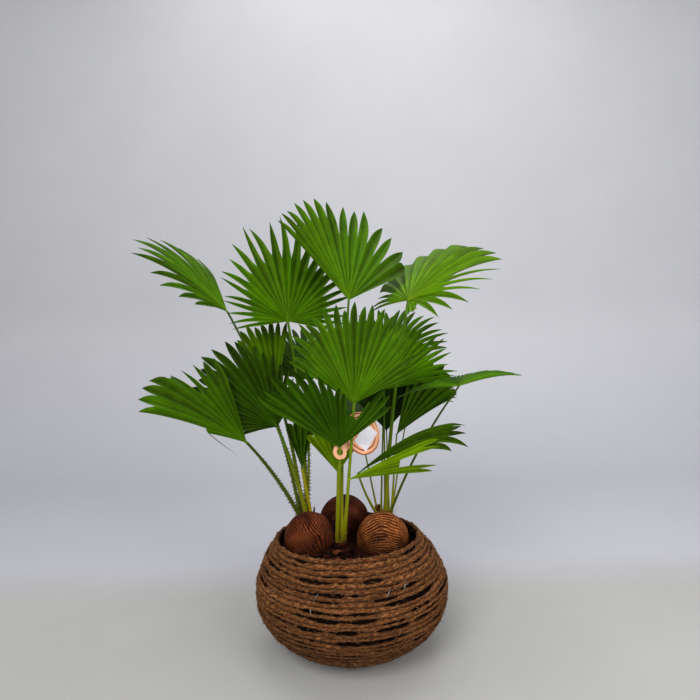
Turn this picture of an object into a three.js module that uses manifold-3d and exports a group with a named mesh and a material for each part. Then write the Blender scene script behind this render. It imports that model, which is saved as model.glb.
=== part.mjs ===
// Chinese fan palm (Livistona chinensis): three young plants in one bowl of coiled
// coir rope, with three round fibrous nuts laid on the fill and a plain hanging tag.
// Units are millimetres, +Z is up, the origin is the middle of the bowl's flat underside
// and -Y is the side that the plant is looked at from.

import * as THREE from "three";
import { mergeVertices } from "three/addons/utils/BufferGeometryUtils.js";
import Module from "manifold-3d";

const wasm = await Module();
wasm.setup();
const DEG = Math.PI / 180;

// ---- driving dimensions ----
const GAP = 0.3; // clearance between two pieces that touch

const POT_FOOT_R = 76; // flat underside
const POT_FOOT_CURVE = 2.56; // how full the bowl is below its belly
const POT_BELLY_R = 163.5; // widest radius
const POT_BELLY_Z = 103; // height of the widest ring
const POT_SHOULDER_CURVE = 1.62; // how full it is above
const POT_MOUTH_R = 123; // outside of the top coil
const POT_RIM_Z = 186; // top of the rim
const COILS = 13; // turns of rope from foot to rim
const ROPE_DEPTH = 4; // how deep the groove is between two turns
const POT_WALL = 11;
const POT_FLOOR = 16;
const MOUTH_SHIFT = -6; // the mouth sits a little to the left of the foot
const RIM_LIFT = 8; // and its near side a little higher
const RIM_LIFT_AT = -79; // heading of that higher side, degrees

const FILL_Z = 166; // level of the husk fill
const FILL_CROWN = 6; // it rises this much towards the middle

const NUTS = {
  // centre and radius
  nut_left: { at: [-70, -25, 188.5], r: 42 },
  nut_right: { at: [54, -28, 184], r: 44 },
  nut_back: { at: [-11, 45, 191], r: 45 },
};

const CROWNS = {
  // centre on the fill, radius, height of the top
  left: { at: [-80, 42], r: 14, top: 200 },
  front: { at: [-19, -14], r: 11, top: 180 },
  right: { at: [63, 47], r: 16, top: 198 },
};
const CROWN_SINK = 8; // how deep a stalk is rooted in its crown

const STALK_R = 3.5; // at the crown
const STALK_TIP_R = 2.1; // at the blade
const STALK_SIDES = 6;
const STALK_STEPS = 7;

const BLADE_THICK = 2.2;
const LEAFLET_PITCH = 16; // degrees between two leaflets
const PLEAT = 0.16; // fold height, as a share of a leaflet's width
const CURVE_STEPS = 12; // steps used to bend a leaflet
const HEEL = 0.04; // share of the reach where the pleats start

// One row for each frond.
// hub: where the blade meets its stalk. aim and face: heading and rise, in degrees, of the
// middle leaflet and of the blade's upper side. reach: length of the longest leaflet.
// spread: angle from the first leaflet to the last. turn: turns the fan in its own plane.
// side: length of the outer leaflets as a share of the reach, and fall how fast it is
// reached. skew: how much longer the right half is than the left. split: where the
// leaflets part. cup: fold of the two halves. droop: bend under the blade's own weight.
// crown and slot: the plant it belongs to and its heading there. bow: sideways bend.
const DEFAULTS = {
  turn: 0, side: 0.8, fall: 0.8, skew: 0, split: 0.6, cup: 10, droop: 0.15, curl: 0,
  bow: [0, 0, 0], stalk: 1, ring: 1,
};
const FRONDS = {
  top: {
    crown: "front", slot: 60, hub: [7, 5, 588], bow: [-4, 12, 0], aim: [75, 61],
    face: [-62, 22], reach: 193, spread: 106, turn: -4, skew: -0.18, side: 0.88,
    cup: 6, droop: 0.06, split: 0.62,
  },
  upper_left: {
    crown: "left", slot: 0, ring: 0, hub: [-105, 60, 555], bow: [8, 2, 0], aim: [105, 74],
    face: [-75, 15], reach: 222, spread: 205, turn: 3, skew: 0.04, side: 0.5, fall: 2.8,
    droop: 0.14, curl: 0.04, split: 0.58,
  },
  far_left: {
    crown: "left", slot: 190, hub: [-202, 5, 574], bow: [12, 24, 4], aim: [180, 52],
    face: [-25, 36], reach: 190, spread: 92, turn: -16, skew: 0.3, side: 0.5, fall: 0.9,
    cup: 8, droop: 0.42, split: 0.5,
  },
  upper_right: {
    crown: "right", slot: 0, ring: 0, hub: [112, 30, 586], bow: [-6, 4, 0], aim: [0, 36],
    face: [-137, 52], reach: 185, spread: 240, turn: -3, skew: -0.12, side: 0.48, fall: 2.2,
    cup: 8, droop: 0.42, split: 0.55,
  },
  middle: {
    crown: "front", slot: 350, hub: [11, -92, 423], bow: [0, -24, 0], aim: [92, 66],
    face: [-88, 24], reach: 188, spread: 122, turn: 5, skew: -0.04, side: 0.6,
    cup: 12, droop: 0.12, curl: 0.05, split: 0.66,
  },
  left: {
    crown: "left", slot: 290, hub: [-119, -20, 377], bow: [4, 0, 0], aim: [165, 50],
    face: [-80, 26], reach: 190, spread: 132, turn: 4, skew: -0.08, side: 0.3, fall: 1.2,
    droop: 0.35, split: 0.7, stalk: 1.15,
  },
  lower_left: {
    crown: "left", slot: 235, hub: [-163, -60, 360], bow: [2, 0, 8], aim: [172, 42],
    face: [-95, 45], reach: 198, spread: 60, turn: 1, side: 0.78, droop: 0.3, split: 0.75,
  },
  front: {
    crown: "front", slot: 225, hub: [-12.5, -97, 357], bow: [0, -6, 0], aim: [-90, 81],
    face: [-82, -9], reach: 94, spread: 108, turn: -1, skew: -0.4, side: 1.3, fall: 6,
    droop: 0.04, stalk: 1.1,
  },
  inner_right: {
    crown: "right", slot: 45, hub: [72, 85, 345], bow: [0, 4, 0], aim: [95, 76],
    face: [-80, 14], reach: 120, spread: 90, droop: 0.1, split: 0.8, stalk: 0.8,
  },
  mid_right: {
    crown: "right", slot: 335, hub: [89, 62, 342], aim: [10, 52],
    face: [-110, 35], reach: 165, spread: 46, turn: -2, droop: 0.25, split: 0.85, stalk: 0.8,
  },
  right: {
    crown: "right", slot: 85, hub: [68, 76, 423], aim: [20, 52],
    face: [-100, 34], reach: 156, spread: 100, side: 0.85, split: 0.7, stalk: 0.8,
  },
  far_right: {
    crown: "right", slot: 290, hub: [180, -62, 443], bow: [-7, 8, 4], aim: [75, 16],
    face: [-128, 60], reach: 87, spread: 164, skew: -0.05, cup: 6, droop: 0.42, split: 0.5,
    side: 1.28, stalk: 0.8,
  },
  lower_right: {
    crown: "right", slot: 235, hub: [15, -35, 299], bow: [-4, -4, 0], aim: [-14, 34],
    face: [-110, 45], reach: 210, spread: 14, turn: -5, skew: -0.12, side: 0.85, cup: 5,
    droop: 0.85, split: 0.8, stalk: 0.8,
  },
  young_right: {
    crown: "front", slot: 285, hub: [-1, -95, 306], bow: [2, -10, 0], aim: [-6, 17],
    face: [-95, 28], reach: 148, spread: 26, turn: -3, skew: -0.1, cup: 5, droop: 0.1,
    split: 0.55, side: 0.95, stalk: 0.9,
  },
  young_front: {
    crown: "front", slot: 140, hub: [-19, -20, 296], aim: [95, 72], face: [-90, 15],
    reach: 90, spread: 80, droop: 0.1, split: 0.8, side: 0.9, stalk: 0.9,
  },
  young_left: {
    crown: "left", slot: 345, hub: [-83, 20, 294], aim: [-90, 82], face: [-60, -6],
    reach: 100, spread: 40, droop: 0.1, split: 0.7, side: 0.9, stalk: 0.9,
  },
  inner_left: {
    crown: "left", slot: 135, hub: [-128, 50, 430], bow: [6, 4, 0], aim: [120, 70],
    face: [-85, 20], reach: 142, spread: 50, turn: -5, droop: 0.05, side: 0.92, split: 0.75,
  },
  back_right: {
    crown: "right", slot: 125, hub: [75, 130, 470], bow: [0, 10, 0], aim: [75, 52],
    face: [-105, 38], reach: 155, spread: 150, droop: 0.3, stalk: 0.8,
  },
  back_left: {
    crown: "left", slot: 80, hub: [-75, 130, 440], bow: [0, 10, 0], aim: [105, 45],
    face: [-75, 45], reach: 175, spread: 160, droop: 0.35,
  },
  back_low: {
    crown: "right", slot: 165, hub: [20, 165, 350], bow: [0, 20, 0], aim: [95, 22],
    face: [-85, 68], reach: 165, spread: 150, droop: 0.4, stalk: 0.8,
  },
  side_right: {
    crown: "right", slot: 10, hub: [118, 115, 385], bow: [0, 10, 0], aim: [50, 28],
    face: [-130, 62], reach: 110, spread: 140, droop: 0.4, stalk: 0.8,
  },
};

// The hanging tag: an oval card with a slit ring that hooks round the front stalk.
const TAG = {
  ring: [-12.9, -94.7, 349], // centre of the ring
  back: 22, // degrees that its top leans away from the viewer
  yaw: 30, // degrees that its right side turns away
  card: [46.5, 24.2], // centre of the oval from the ring's, in the plane of the card
  neck: 13, // width of the strip that joins them
  oval: [32, 35],
  ringOuter: 11.5,
  ringInner: 5.4,
  slit: 1,
  thick: 1.2,
};

// ---- colours and finishes ----
const finish = (color, roughness) => new THREE.MeshStandardMaterial({ color, roughness });
const LOOK = {
  leaf: 0x3f8a14,
  young_leaf: 0x76ae28,
  stalk: 0x6d8c35,
  crown: 0x7a4a26,
  rope: 0x7a5532,
  fill: 0x3a1f14,
  nut: 0x7d4a26,
  card: 0xcf9c6c,
};

// ---- small vector helpers ----
const vec = (a) => new THREE.Vector3(a[0], a[1], a[2]);
const way = ([heading, rise]) =>
  new THREE.Vector3(
    Math.cos(heading * DEG) * Math.cos(rise * DEG),
    Math.sin(heading * DEG) * Math.cos(rise * DEG),
    Math.sin(rise * DEG),
  );
const DOWN = new THREE.Vector3(0, 0, -1);

// A triangle list over points, as a three.js geometry.
function geometryOf(points, faces) {
  const g = new THREE.BufferGeometry();
  g.setAttribute("position", new THREE.Float32BufferAttribute(points.flatMap((p) => [p.x, p.y, p.z]), 3));
  g.setIndex(faces.flat());
  return g;
}

// ---- solids for joins and cuts ----
function solid(geometry) {
  const bare = geometry.clone();
  bare.deleteAttribute("normal");
  bare.deleteAttribute("uv");
  const merged = mergeVertices(bare, 1e-4);
  return new wasm.Manifold(
    new wasm.Mesh({
      numProp: 3,
      vertProperties: merged.attributes.position.array,
      triVerts: new Uint32Array(merged.index.array),
    }),
  );
}

// The largest piece of a cut solid, without the crumbs that the cut leaves.
function largest(made) {
  return made.decompose().reduce((a, b) => (b.volume() > a.volume() ? b : a));
}

function geometry(made) {
  const mesh = made.getMesh();
  const g = new THREE.BufferGeometry();
  g.setAttribute("position", new THREE.BufferAttribute(new Float32Array(mesh.vertProperties), 3));
  g.setIndex(new THREE.BufferAttribute(new Uint32Array(mesh.triVerts), 1));
  g.computeVertexNormals();
  return g;
}

// ---- stalks ----
// The middle line of a frond's stalk, from inside its crown to the blade's hub.
function stalkLine(f) {
  const c = CROWNS[f.crown];
  const r = (c.r - STALK_R * 1.25) * f.ring;
  const foot = new THREE.Vector3(
    c.at[0] + Math.cos(f.slot * DEG) * r,
    c.at[1] + Math.sin(f.slot * DEG) * r,
    c.top - CROWN_SINK,
  );
  const hub = vec(f.hub);
  const middle = foot.clone().lerp(hub, 0.5).add(vec(f.bow).multiplyScalar(2));
  return new THREE.QuadraticBezierCurve3(foot, middle, hub);
}

// A tapering bar with STALK_SIDES faces; grow makes it thicker and longer for a cut.
function stalk(f, grow = 0) {
  const line = stalkLine(f);
  const points = [];
  const faces = [];
  const across = new THREE.Vector3();
  const side = new THREE.Vector3();
  for (let k = 0; k <= STALK_STEPS; k++) {
    const t = k / STALK_STEPS;
    const at = line.getPoint(t);
    const along = line.getTangent(t);
    if (k === 0) at.addScaledVector(along, -grow);
    if (k === STALK_STEPS) at.addScaledVector(along, grow);
    side.set(1, 0, 0).cross(along).normalize();
    across.crossVectors(along, side);
    const r = (STALK_R + (STALK_TIP_R - STALK_R) * t) * f.stalk + grow;
    for (let j = 0; j < STALK_SIDES; j++) {
      const a = (j / STALK_SIDES) * 2 * Math.PI;
      points.push(
        at.clone().addScaledVector(side, r * Math.cos(a)).addScaledVector(across, -r * Math.sin(a)),
      );
    }
  }
  for (let k = 0; k < STALK_STEPS; k++) {
    for (let j = 0; j < STALK_SIDES; j++) {
      const a = k * STALK_SIDES + j;
      const b = k * STALK_SIDES + ((j + 1) % STALK_SIDES);
      faces.push([a, b + STALK_SIDES, b], [a, a + STALK_SIDES, b + STALK_SIDES]);
    }
  }
  const last = STALK_STEPS * STALK_SIDES;
  for (let j = 1; j < STALK_SIDES - 1; j++) {
    faces.push([0, j, j + 1], [last, last + j + 1, last + j]);
  }
  return solid(geometryOf(points, faces));
}

// ---- blades ----
// The fan's surface: lines from the heel to the tips, two for each leaflet and one more.
// Even lines are the edges that two leaflets share, odd lines are the midribs.
function fanLines(f) {
  const aim = way(f.aim);
  const face = way(f.face);
  face.addScaledVector(aim, -face.dot(aim)).normalize();
  const right = new THREE.Vector3().crossVectors(aim, face);
  const leaflets = Math.max(3, Math.round(f.spread / LEAFLET_PITCH));
  const cup = f.cup * DEG;
  const lines = [];
  for (let i = 0; i <= 2 * leaflets; i++) {
    const share = i / leaflets - 1;
    const phi = (share * f.spread * 0.5 + f.turn) * DEG;
    const sin = Math.sin(phi);
    const fold = Math.sqrt(sin * sin + 0.02) - Math.sqrt(0.02);
    const out = aim
      .clone()
      .multiplyScalar(Math.cos(phi))
      .addScaledVector(right, sin * Math.cos(cup))
      .addScaledVector(face, fold * Math.sin(cup))
      .normalize();
    const shape = Math.cos((share * Math.PI) / 2 - 1e-9);
    const length =
      f.reach * (f.side + (1 - f.side) * Math.max(shape, 0) ** f.fall) * (1 + f.skew * share);
    const bend = (t) =>
      out
        .clone()
        .addScaledVector(DOWN, f.droop * t ** 1.6)
        .addScaledVector(face, -f.curl * t * t)
        .normalize();
    const line = [];
    const at = vec(f.hub).addScaledVector(out, HEEL * length);
    const step = (1 - HEEL) / CURVE_STEPS;
    for (let k = 0; k <= CURVE_STEPS; k++) {
      const t = HEEL + k * step;
      line.push({ at: at.clone(), along: bend(t), length, t });
      at.addScaledVector(bend(t + step / 2), step * length);
    }
    lines.push(line);
  }
  // the direction across the blade and its normal, at each point
  lines.forEach((line, i) => {
    const before = lines[Math.max(i - 1, 0)];
    const after = lines[Math.min(i + 1, lines.length - 1)];
    line.forEach((p, k) => {
      p.across = after[k].at.clone().sub(before[k].at).normalize();
      p.up = new THREE.Vector3().crossVectors(p.across, p.along).normalize();
    });
  });
  // pleats: midribs low, shared edges high
  const pitch = (f.spread / leaflets) * DEG;
  lines.forEach((line, i) => {
    const lift = (i % 2 ? -0.5 : 0.5) * PLEAT * pitch;
    line.forEach((p) => p.at.addScaledVector(p.up, lift * p.length * p.t));
  });
  return { lines, face };
}

// A thin closed solid: a pleated fan as far as the split, then one point for each leaflet.
function blade(f) {
  const { lines, face } = fanLines(f);
  const split = Math.round(f.split * CURVE_STEPS);
  const stops = [0, Math.round(split / 2), split];
  const half = BLADE_THICK / 2;
  const points = [];
  const faces = [];
  const add = (p, up) => {
    points.push(p.clone().addScaledVector(up, half));
    points.push(p.clone().addScaledVector(up, -half));
    return points.length - 2;
  };
  // a, b, c, d are corners of the upper side, anticlockwise seen from above
  const sheet = (a, b, c, d) => {
    faces.push([a, b, c], [a + 1, c + 1, b + 1]);
    if (d !== undefined) faces.push([a, c, d], [a + 1, d + 1, c + 1]);
  };
  const wall = (a, b) => faces.push([a, a + 1, b + 1], [a, b + 1, b]);

  const hub = add(vec(f.hub), face);
  const grid = lines.map((line) => stops.map((k) => add(line[k].at, line[k].up)));
  const last = grid.length - 1;
  for (let i = 0; i < last; i++) {
    sheet(hub, grid[i + 1][0], grid[i][0]);
    for (let s = 0; s < stops.length - 1; s++) {
      sheet(grid[i][s], grid[i + 1][s], grid[i + 1][s + 1], grid[i][s + 1]);
    }
  }
  // the two outer edges, from the hub to the split
  wall(grid[0][0], hub);
  wall(hub, grid[last][0]);
  for (let s = 0; s < stops.length - 1; s++) {
    wall(grid[0][s + 1], grid[0][s]);
    wall(grid[last][s], grid[last][s + 1]);
  }
  // the free part of each leaflet narrows from its two edges to its tip
  const end = stops.length - 1;
  const waist = Math.round((split + CURVE_STEPS * 1.2) / 2.2);
  for (let i = 1; i < lines.length; i += 2) {
    const rib = lines[i];
    const root = rib[split];
    const tip = add(rib[CURVE_STEPS].at, rib[CURVE_STEPS].up);
    const mid = add(rib[waist].at, rib[waist].up);
    const x = (waist - split) / (CURVE_STEPS - split);
    const taper = (1 - x) ** 0.85 * (1 + 0.25 * x);
    const edge = (j) => {
      const off = lines[j][split].at.clone().sub(root.at);
      return add(
        rib[waist].at
          .clone()
          .addScaledVector(rib[waist].across, off.dot(root.across) * taper)
          .addScaledVector(rib[waist].up, off.dot(root.up) * taper),
        rib[waist].up,
      );
    };
    const left = edge(i - 1);
    const right = edge(i + 1);
    sheet(grid[i - 1][end], grid[i][end], mid, left);
    sheet(grid[i][end], grid[i + 1][end], right, mid);
    sheet(left, mid, tip);
    sheet(mid, right, tip);
    wall(left, grid[i - 1][end]);
    wall(tip, left);
    wall(grid[i + 1][end], right);
    wall(right, tip);
  }
  return solid(geometryOf(points, faces));
}

// ---- pot ----
// Radius of the bowl at height z, halfway between the rope's crests and its grooves.
function bowlRadius(z) {
  if (z < POT_BELLY_Z) {
    const u = 1 - z / POT_BELLY_Z;
    return POT_BELLY_R - (POT_BELLY_R - POT_FOOT_R) * u ** POT_FOOT_CURVE;
  }
  const u = (z - POT_BELLY_Z) / (POT_RIM_Z - POT_BELLY_Z);
  return POT_BELLY_R - (POT_BELLY_R - POT_MOUTH_R) * u ** POT_SHOULDER_CURVE;
}

// Shifts the mouth to one side and lifts one side of the rim, the foot staying flat.
function lean(g) {
  const p = g.attributes.position;
  for (let i = 0; i < p.count; i++) {
    const x = p.getX(i);
    const y = p.getY(i);
    const u = Math.max(0, (p.getZ(i) - POT_BELLY_Z) / (POT_RIM_Z - POT_BELLY_Z));
    const toward = (x * Math.cos(RIM_LIFT_AT * DEG) + y * Math.sin(RIM_LIFT_AT * DEG)) / POT_MOUTH_R;
    p.setX(i, x + MOUTH_SHIFT * u * u);
    p.setZ(i, p.getZ(i) + RIM_LIFT * u * u * toward);
  }
  return g;
}

const POT_TURN = 36;
function lathe(profile, segments = POT_TURN) {
  const g = new THREE.LatheGeometry(profile.map(([r, z]) => new THREE.Vector2(r, z)), segments);
  g.rotateX(Math.PI / 2);
  return g;
}

const ROPE = POT_RIM_Z / COILS;
// The inner wall from the rim down to the floor, as [radius, height].
const INNER = [
  [POT_MOUTH_R - 4, POT_RIM_Z],
  [POT_MOUTH_R - POT_WALL, POT_RIM_Z - ROPE * 0.6],
  [bowlRadius(140) - POT_WALL, 140],
  [bowlRadius(POT_BELLY_Z) - POT_WALL, POT_BELLY_Z],
  [bowlRadius(45) - POT_WALL, 45],
  [bowlRadius(20) - POT_WALL, POT_FLOOR],
];
function innerRadius(z) {
  const k = INNER.findIndex(([, low]) => low <= z);
  const [r1, z1] = INNER[k];
  const [r0, z0] = INNER[k - 1];
  return r1 + ((z - z1) / (z0 - z1)) * (r0 - r1);
}

function pot() {
  const profile = [[0, 0], [POT_FOOT_R, 0]];
  for (let i = 0; i < COILS; i++) {
    const crest = (i + 0.5) * ROPE;
    const top = (i + 1) * ROPE;
    profile.push([bowlRadius(crest) + ROPE_DEPTH / 2, crest]);
    if (i < COILS - 1) profile.push([bowlRadius(top) - ROPE_DEPTH / 2, top]);
  }
  profile.push(...INNER);
  profile.push([0, POT_FLOOR]);
  return solid(lean(lathe(profile)));
}

function fill() {
  const clear = GAP * 1.5;
  const shoulder = FILL_Z - 3;
  const profile = [[0, POT_FLOOR + clear]];
  for (const [r, z] of [...INNER].reverse()) {
    if (z < shoulder) profile.push([r - clear, Math.max(z, POT_FLOOR + clear)]);
  }
  profile.push([innerRadius(shoulder) - 3 * clear, shoulder]);
  profile.push([60, FILL_Z + FILL_CROWN * 0.6]);
  profile.push([0, FILL_Z + FILL_CROWN]);
  return solid(lean(lathe(profile)));
}

function nut({ at, r }, grow = 0) {
  const g = new THREE.SphereGeometry(r + grow, 18, 12);
  g.rotateX(Math.PI / 2);
  g.translate(...at);
  return solid(g);
}

function crown(c, grow = 0) {
  const low = FILL_Z - 14 - grow;
  const profile = [
    [0, low],
    [c.r * 0.86 + grow, low],
    [c.r * 1.02 + grow, c.top - 14],
    [c.r + grow, c.top - 4],
    [c.r * 0.7 + grow, c.top + grow],
    [0, c.top + 1.5 + grow],
  ];
  const g = lathe(profile, 14);
  g.translate(c.at[0], c.at[1], 0);
  return solid(g);
}

function tag() {
  const disc = (rx, ry, x, y, grow = 0) => {
    const shape = new THREE.Shape().absellipse(x, y, rx, ry, 0, 2 * Math.PI);
    const g = new THREE.ExtrudeGeometry(shape, {
      depth: TAG.thick + grow,
      bevelEnabled: false,
      curveSegments: 14,
    });
    g.translate(0, 0, -(TAG.thick + grow) / 2);
    return solid(g);
  };
  const slit = new THREE.BoxGeometry(TAG.slit, TAG.ringOuter * 1.2, TAG.thick * 3);
  slit.translate(0, -TAG.ringOuter, 0);
  const [cx, cy] = TAG.card;
  const neck = new THREE.BoxGeometry(Math.hypot(cx, cy), TAG.neck, TAG.thick);
  neck.rotateZ(Math.atan2(cy, cx));
  neck.translate(cx / 2, cy / 2, 0);
  const flat = disc(...TAG.oval, ...TAG.card)
    .add(solid(neck))
    .add(disc(TAG.ringOuter, TAG.ringOuter, 0, 0))
    .subtract(disc(TAG.ringInner, TAG.ringInner, 0, 0, 2))
    .subtract(solid(slit));
  const g = geometry(flat);
  g.rotateX((90 - TAG.back) * DEG);
  g.rotateZ(TAG.yaw * DEG);
  g.translate(...TAG.ring);
  return solid(g);
}

// ---- assembly ----
const group = new THREE.Group();
group.name = "chinese_fan_palm";
function put(name, made, color, roughness = 0.7) {
  const mesh = new THREE.Mesh(geometry(made), finish(color, roughness));
  mesh.name = name;
  group.add(mesh);
}

const fronds = Object.entries(FRONDS).map(([name, row]) => ({ name, ...DEFAULTS, ...row }));
put("pot", pot(), LOOK.rope, 0.95);
let bed = fill();
for (const [name, ball] of Object.entries(NUTS)) {
  put(name, nut(ball), LOOK.nut, 0.8);
  bed = bed.subtract(nut(ball, GAP));
}
for (const [name, c] of Object.entries(CROWNS)) {
  let base = crown(c);
  for (const f of fronds.filter((row) => row.crown === name)) base = base.subtract(stalk(f, GAP));
  put("crown_" + name, base, LOOK.crown, 0.9);
  bed = bed.subtract(crown(c, GAP));
}
put("fill", bed, LOOK.fill, 1);
for (const f of fronds) {
  const green = f.name.startsWith("young") ? LOOK.young_leaf : LOOK.leaf;
  put("stalk_" + f.name, stalk(f), LOOK.stalk, 0.5);
  put("blade_" + f.name, largest(blade(f).subtract(stalk(f, GAP))), green, 0.45);
}

put("tag", tag(), LOOK.card, 0.6);

export default group;
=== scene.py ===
"""Chinese fan palm in a bowl of coiled coir rope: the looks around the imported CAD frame.

Shapes are worked out in millimetres, in the CAD's frame, and written to the meshes in metres.
The fronds grow by the CAD's own rule with finer leaflets.
"""

import math
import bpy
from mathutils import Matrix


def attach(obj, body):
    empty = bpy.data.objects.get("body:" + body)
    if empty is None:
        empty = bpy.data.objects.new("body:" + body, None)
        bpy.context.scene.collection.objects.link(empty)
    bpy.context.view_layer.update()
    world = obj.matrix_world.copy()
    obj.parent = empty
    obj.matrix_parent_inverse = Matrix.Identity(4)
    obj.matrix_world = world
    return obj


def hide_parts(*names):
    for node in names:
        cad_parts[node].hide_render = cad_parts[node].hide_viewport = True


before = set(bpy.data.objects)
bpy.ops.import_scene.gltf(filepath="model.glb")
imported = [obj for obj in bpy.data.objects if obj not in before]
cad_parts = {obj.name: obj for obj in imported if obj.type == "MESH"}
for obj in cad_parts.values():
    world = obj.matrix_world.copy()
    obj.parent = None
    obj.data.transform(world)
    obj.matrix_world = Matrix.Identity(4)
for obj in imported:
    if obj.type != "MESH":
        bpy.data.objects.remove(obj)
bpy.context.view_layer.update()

from types import SimpleNamespace

import bmesh
import bpy
import numpy as np
from mathutils import Matrix, Vector

MM = 0.001

# ---- the CAD's named sizes, in millimetres ----
POT_FOOT_R, POT_FOOT_CURVE = 76.0, 2.56
POT_BELLY_R, POT_BELLY_Z = 163.5, 103.0
POT_SHOULDER_CURVE, POT_MOUTH_R, POT_RIM_Z = 1.62, 123.0, 186.0
MOUTH_SHIFT, RIM_LIFT, RIM_LIFT_AT = -6.0, 8.0, -79.0
FILL_Z, FILL_CROWN = 166.0, 6.0
NUTS = {  # centre and radius
    "nut_left": ((-70, -25, 188.5), 42),
    "nut_right": ((54, -28, 184), 44),
    "nut_back": ((-11, 45, 191), 45),
}
CROWNS = {  # middle, radius and top
    "left": ((-80, 42), 14, 200),
    "front": ((-19, -14), 11, 180),
    "right": ((63, 47), 16, 198),
}
CROWN_SINK = 8
STALK_R, STALK_TIP_R = 3.5, 2.1
HEEL = 0.04

# What a frond's row says; angles are in degrees, and a share runs from -1 at the first leaflet
# to 1 at the last.
#   crown, slot, ring: the sheath that it grows from, and where its foot stands round it
#   hub, bow: the stalk's upper end, and how far the stalk bends aside
#   aim, face: heading and rise of the middle leaflet and of the blade's upper side
#   reach, spread, turn: the longest leaflet, the whole angle, and a turn in the fan's own plane
#   side, fall, skew: length of the outer leaflets, how late they shorten, more to one side
#   cup, droop, curl: how the fan folds along its middle, sinks and rolls back
#   pitch, crowd: the angle between leaflets, and how much narrower the first ones are
#   split, deep: where leaflets part, as a share of their length, and how much sooner at the sides
#   tip, thin, torn, sway, dip: taper, slimness, torn ends, and bends aside and down
#   lobes: from share, to share, where these leaflets part, slimmer by, shorter by
#   hang: how far the first leaflet's tip hangs away, in its own lengths
#   stalk, bark, spines, tone, shade: the stalk's width, colour and spines, the blade's colour,
#     and how much lighter its first and last leaflets are; tone and shade are partly the blade's
#     own green and partly painted light and painted shade for how the light falls on each fan
DEFAULTS = dict(
    turn=0, side=0.8, fall=0.8, skew=0, split=0.6, cup=10, droop=0.15, curl=0,
    bow=(0, 0, 0), stalk=1, ring=1, tone="mid", bark="green", spines=0, pitch=7.4, crowd=0,
    deep=0.12, sway=0.022, dip=0.016, thin=0, torn=0.08, tip=3.2, lobes=(), hang=0,
    shade=(0, 0),
)
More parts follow.
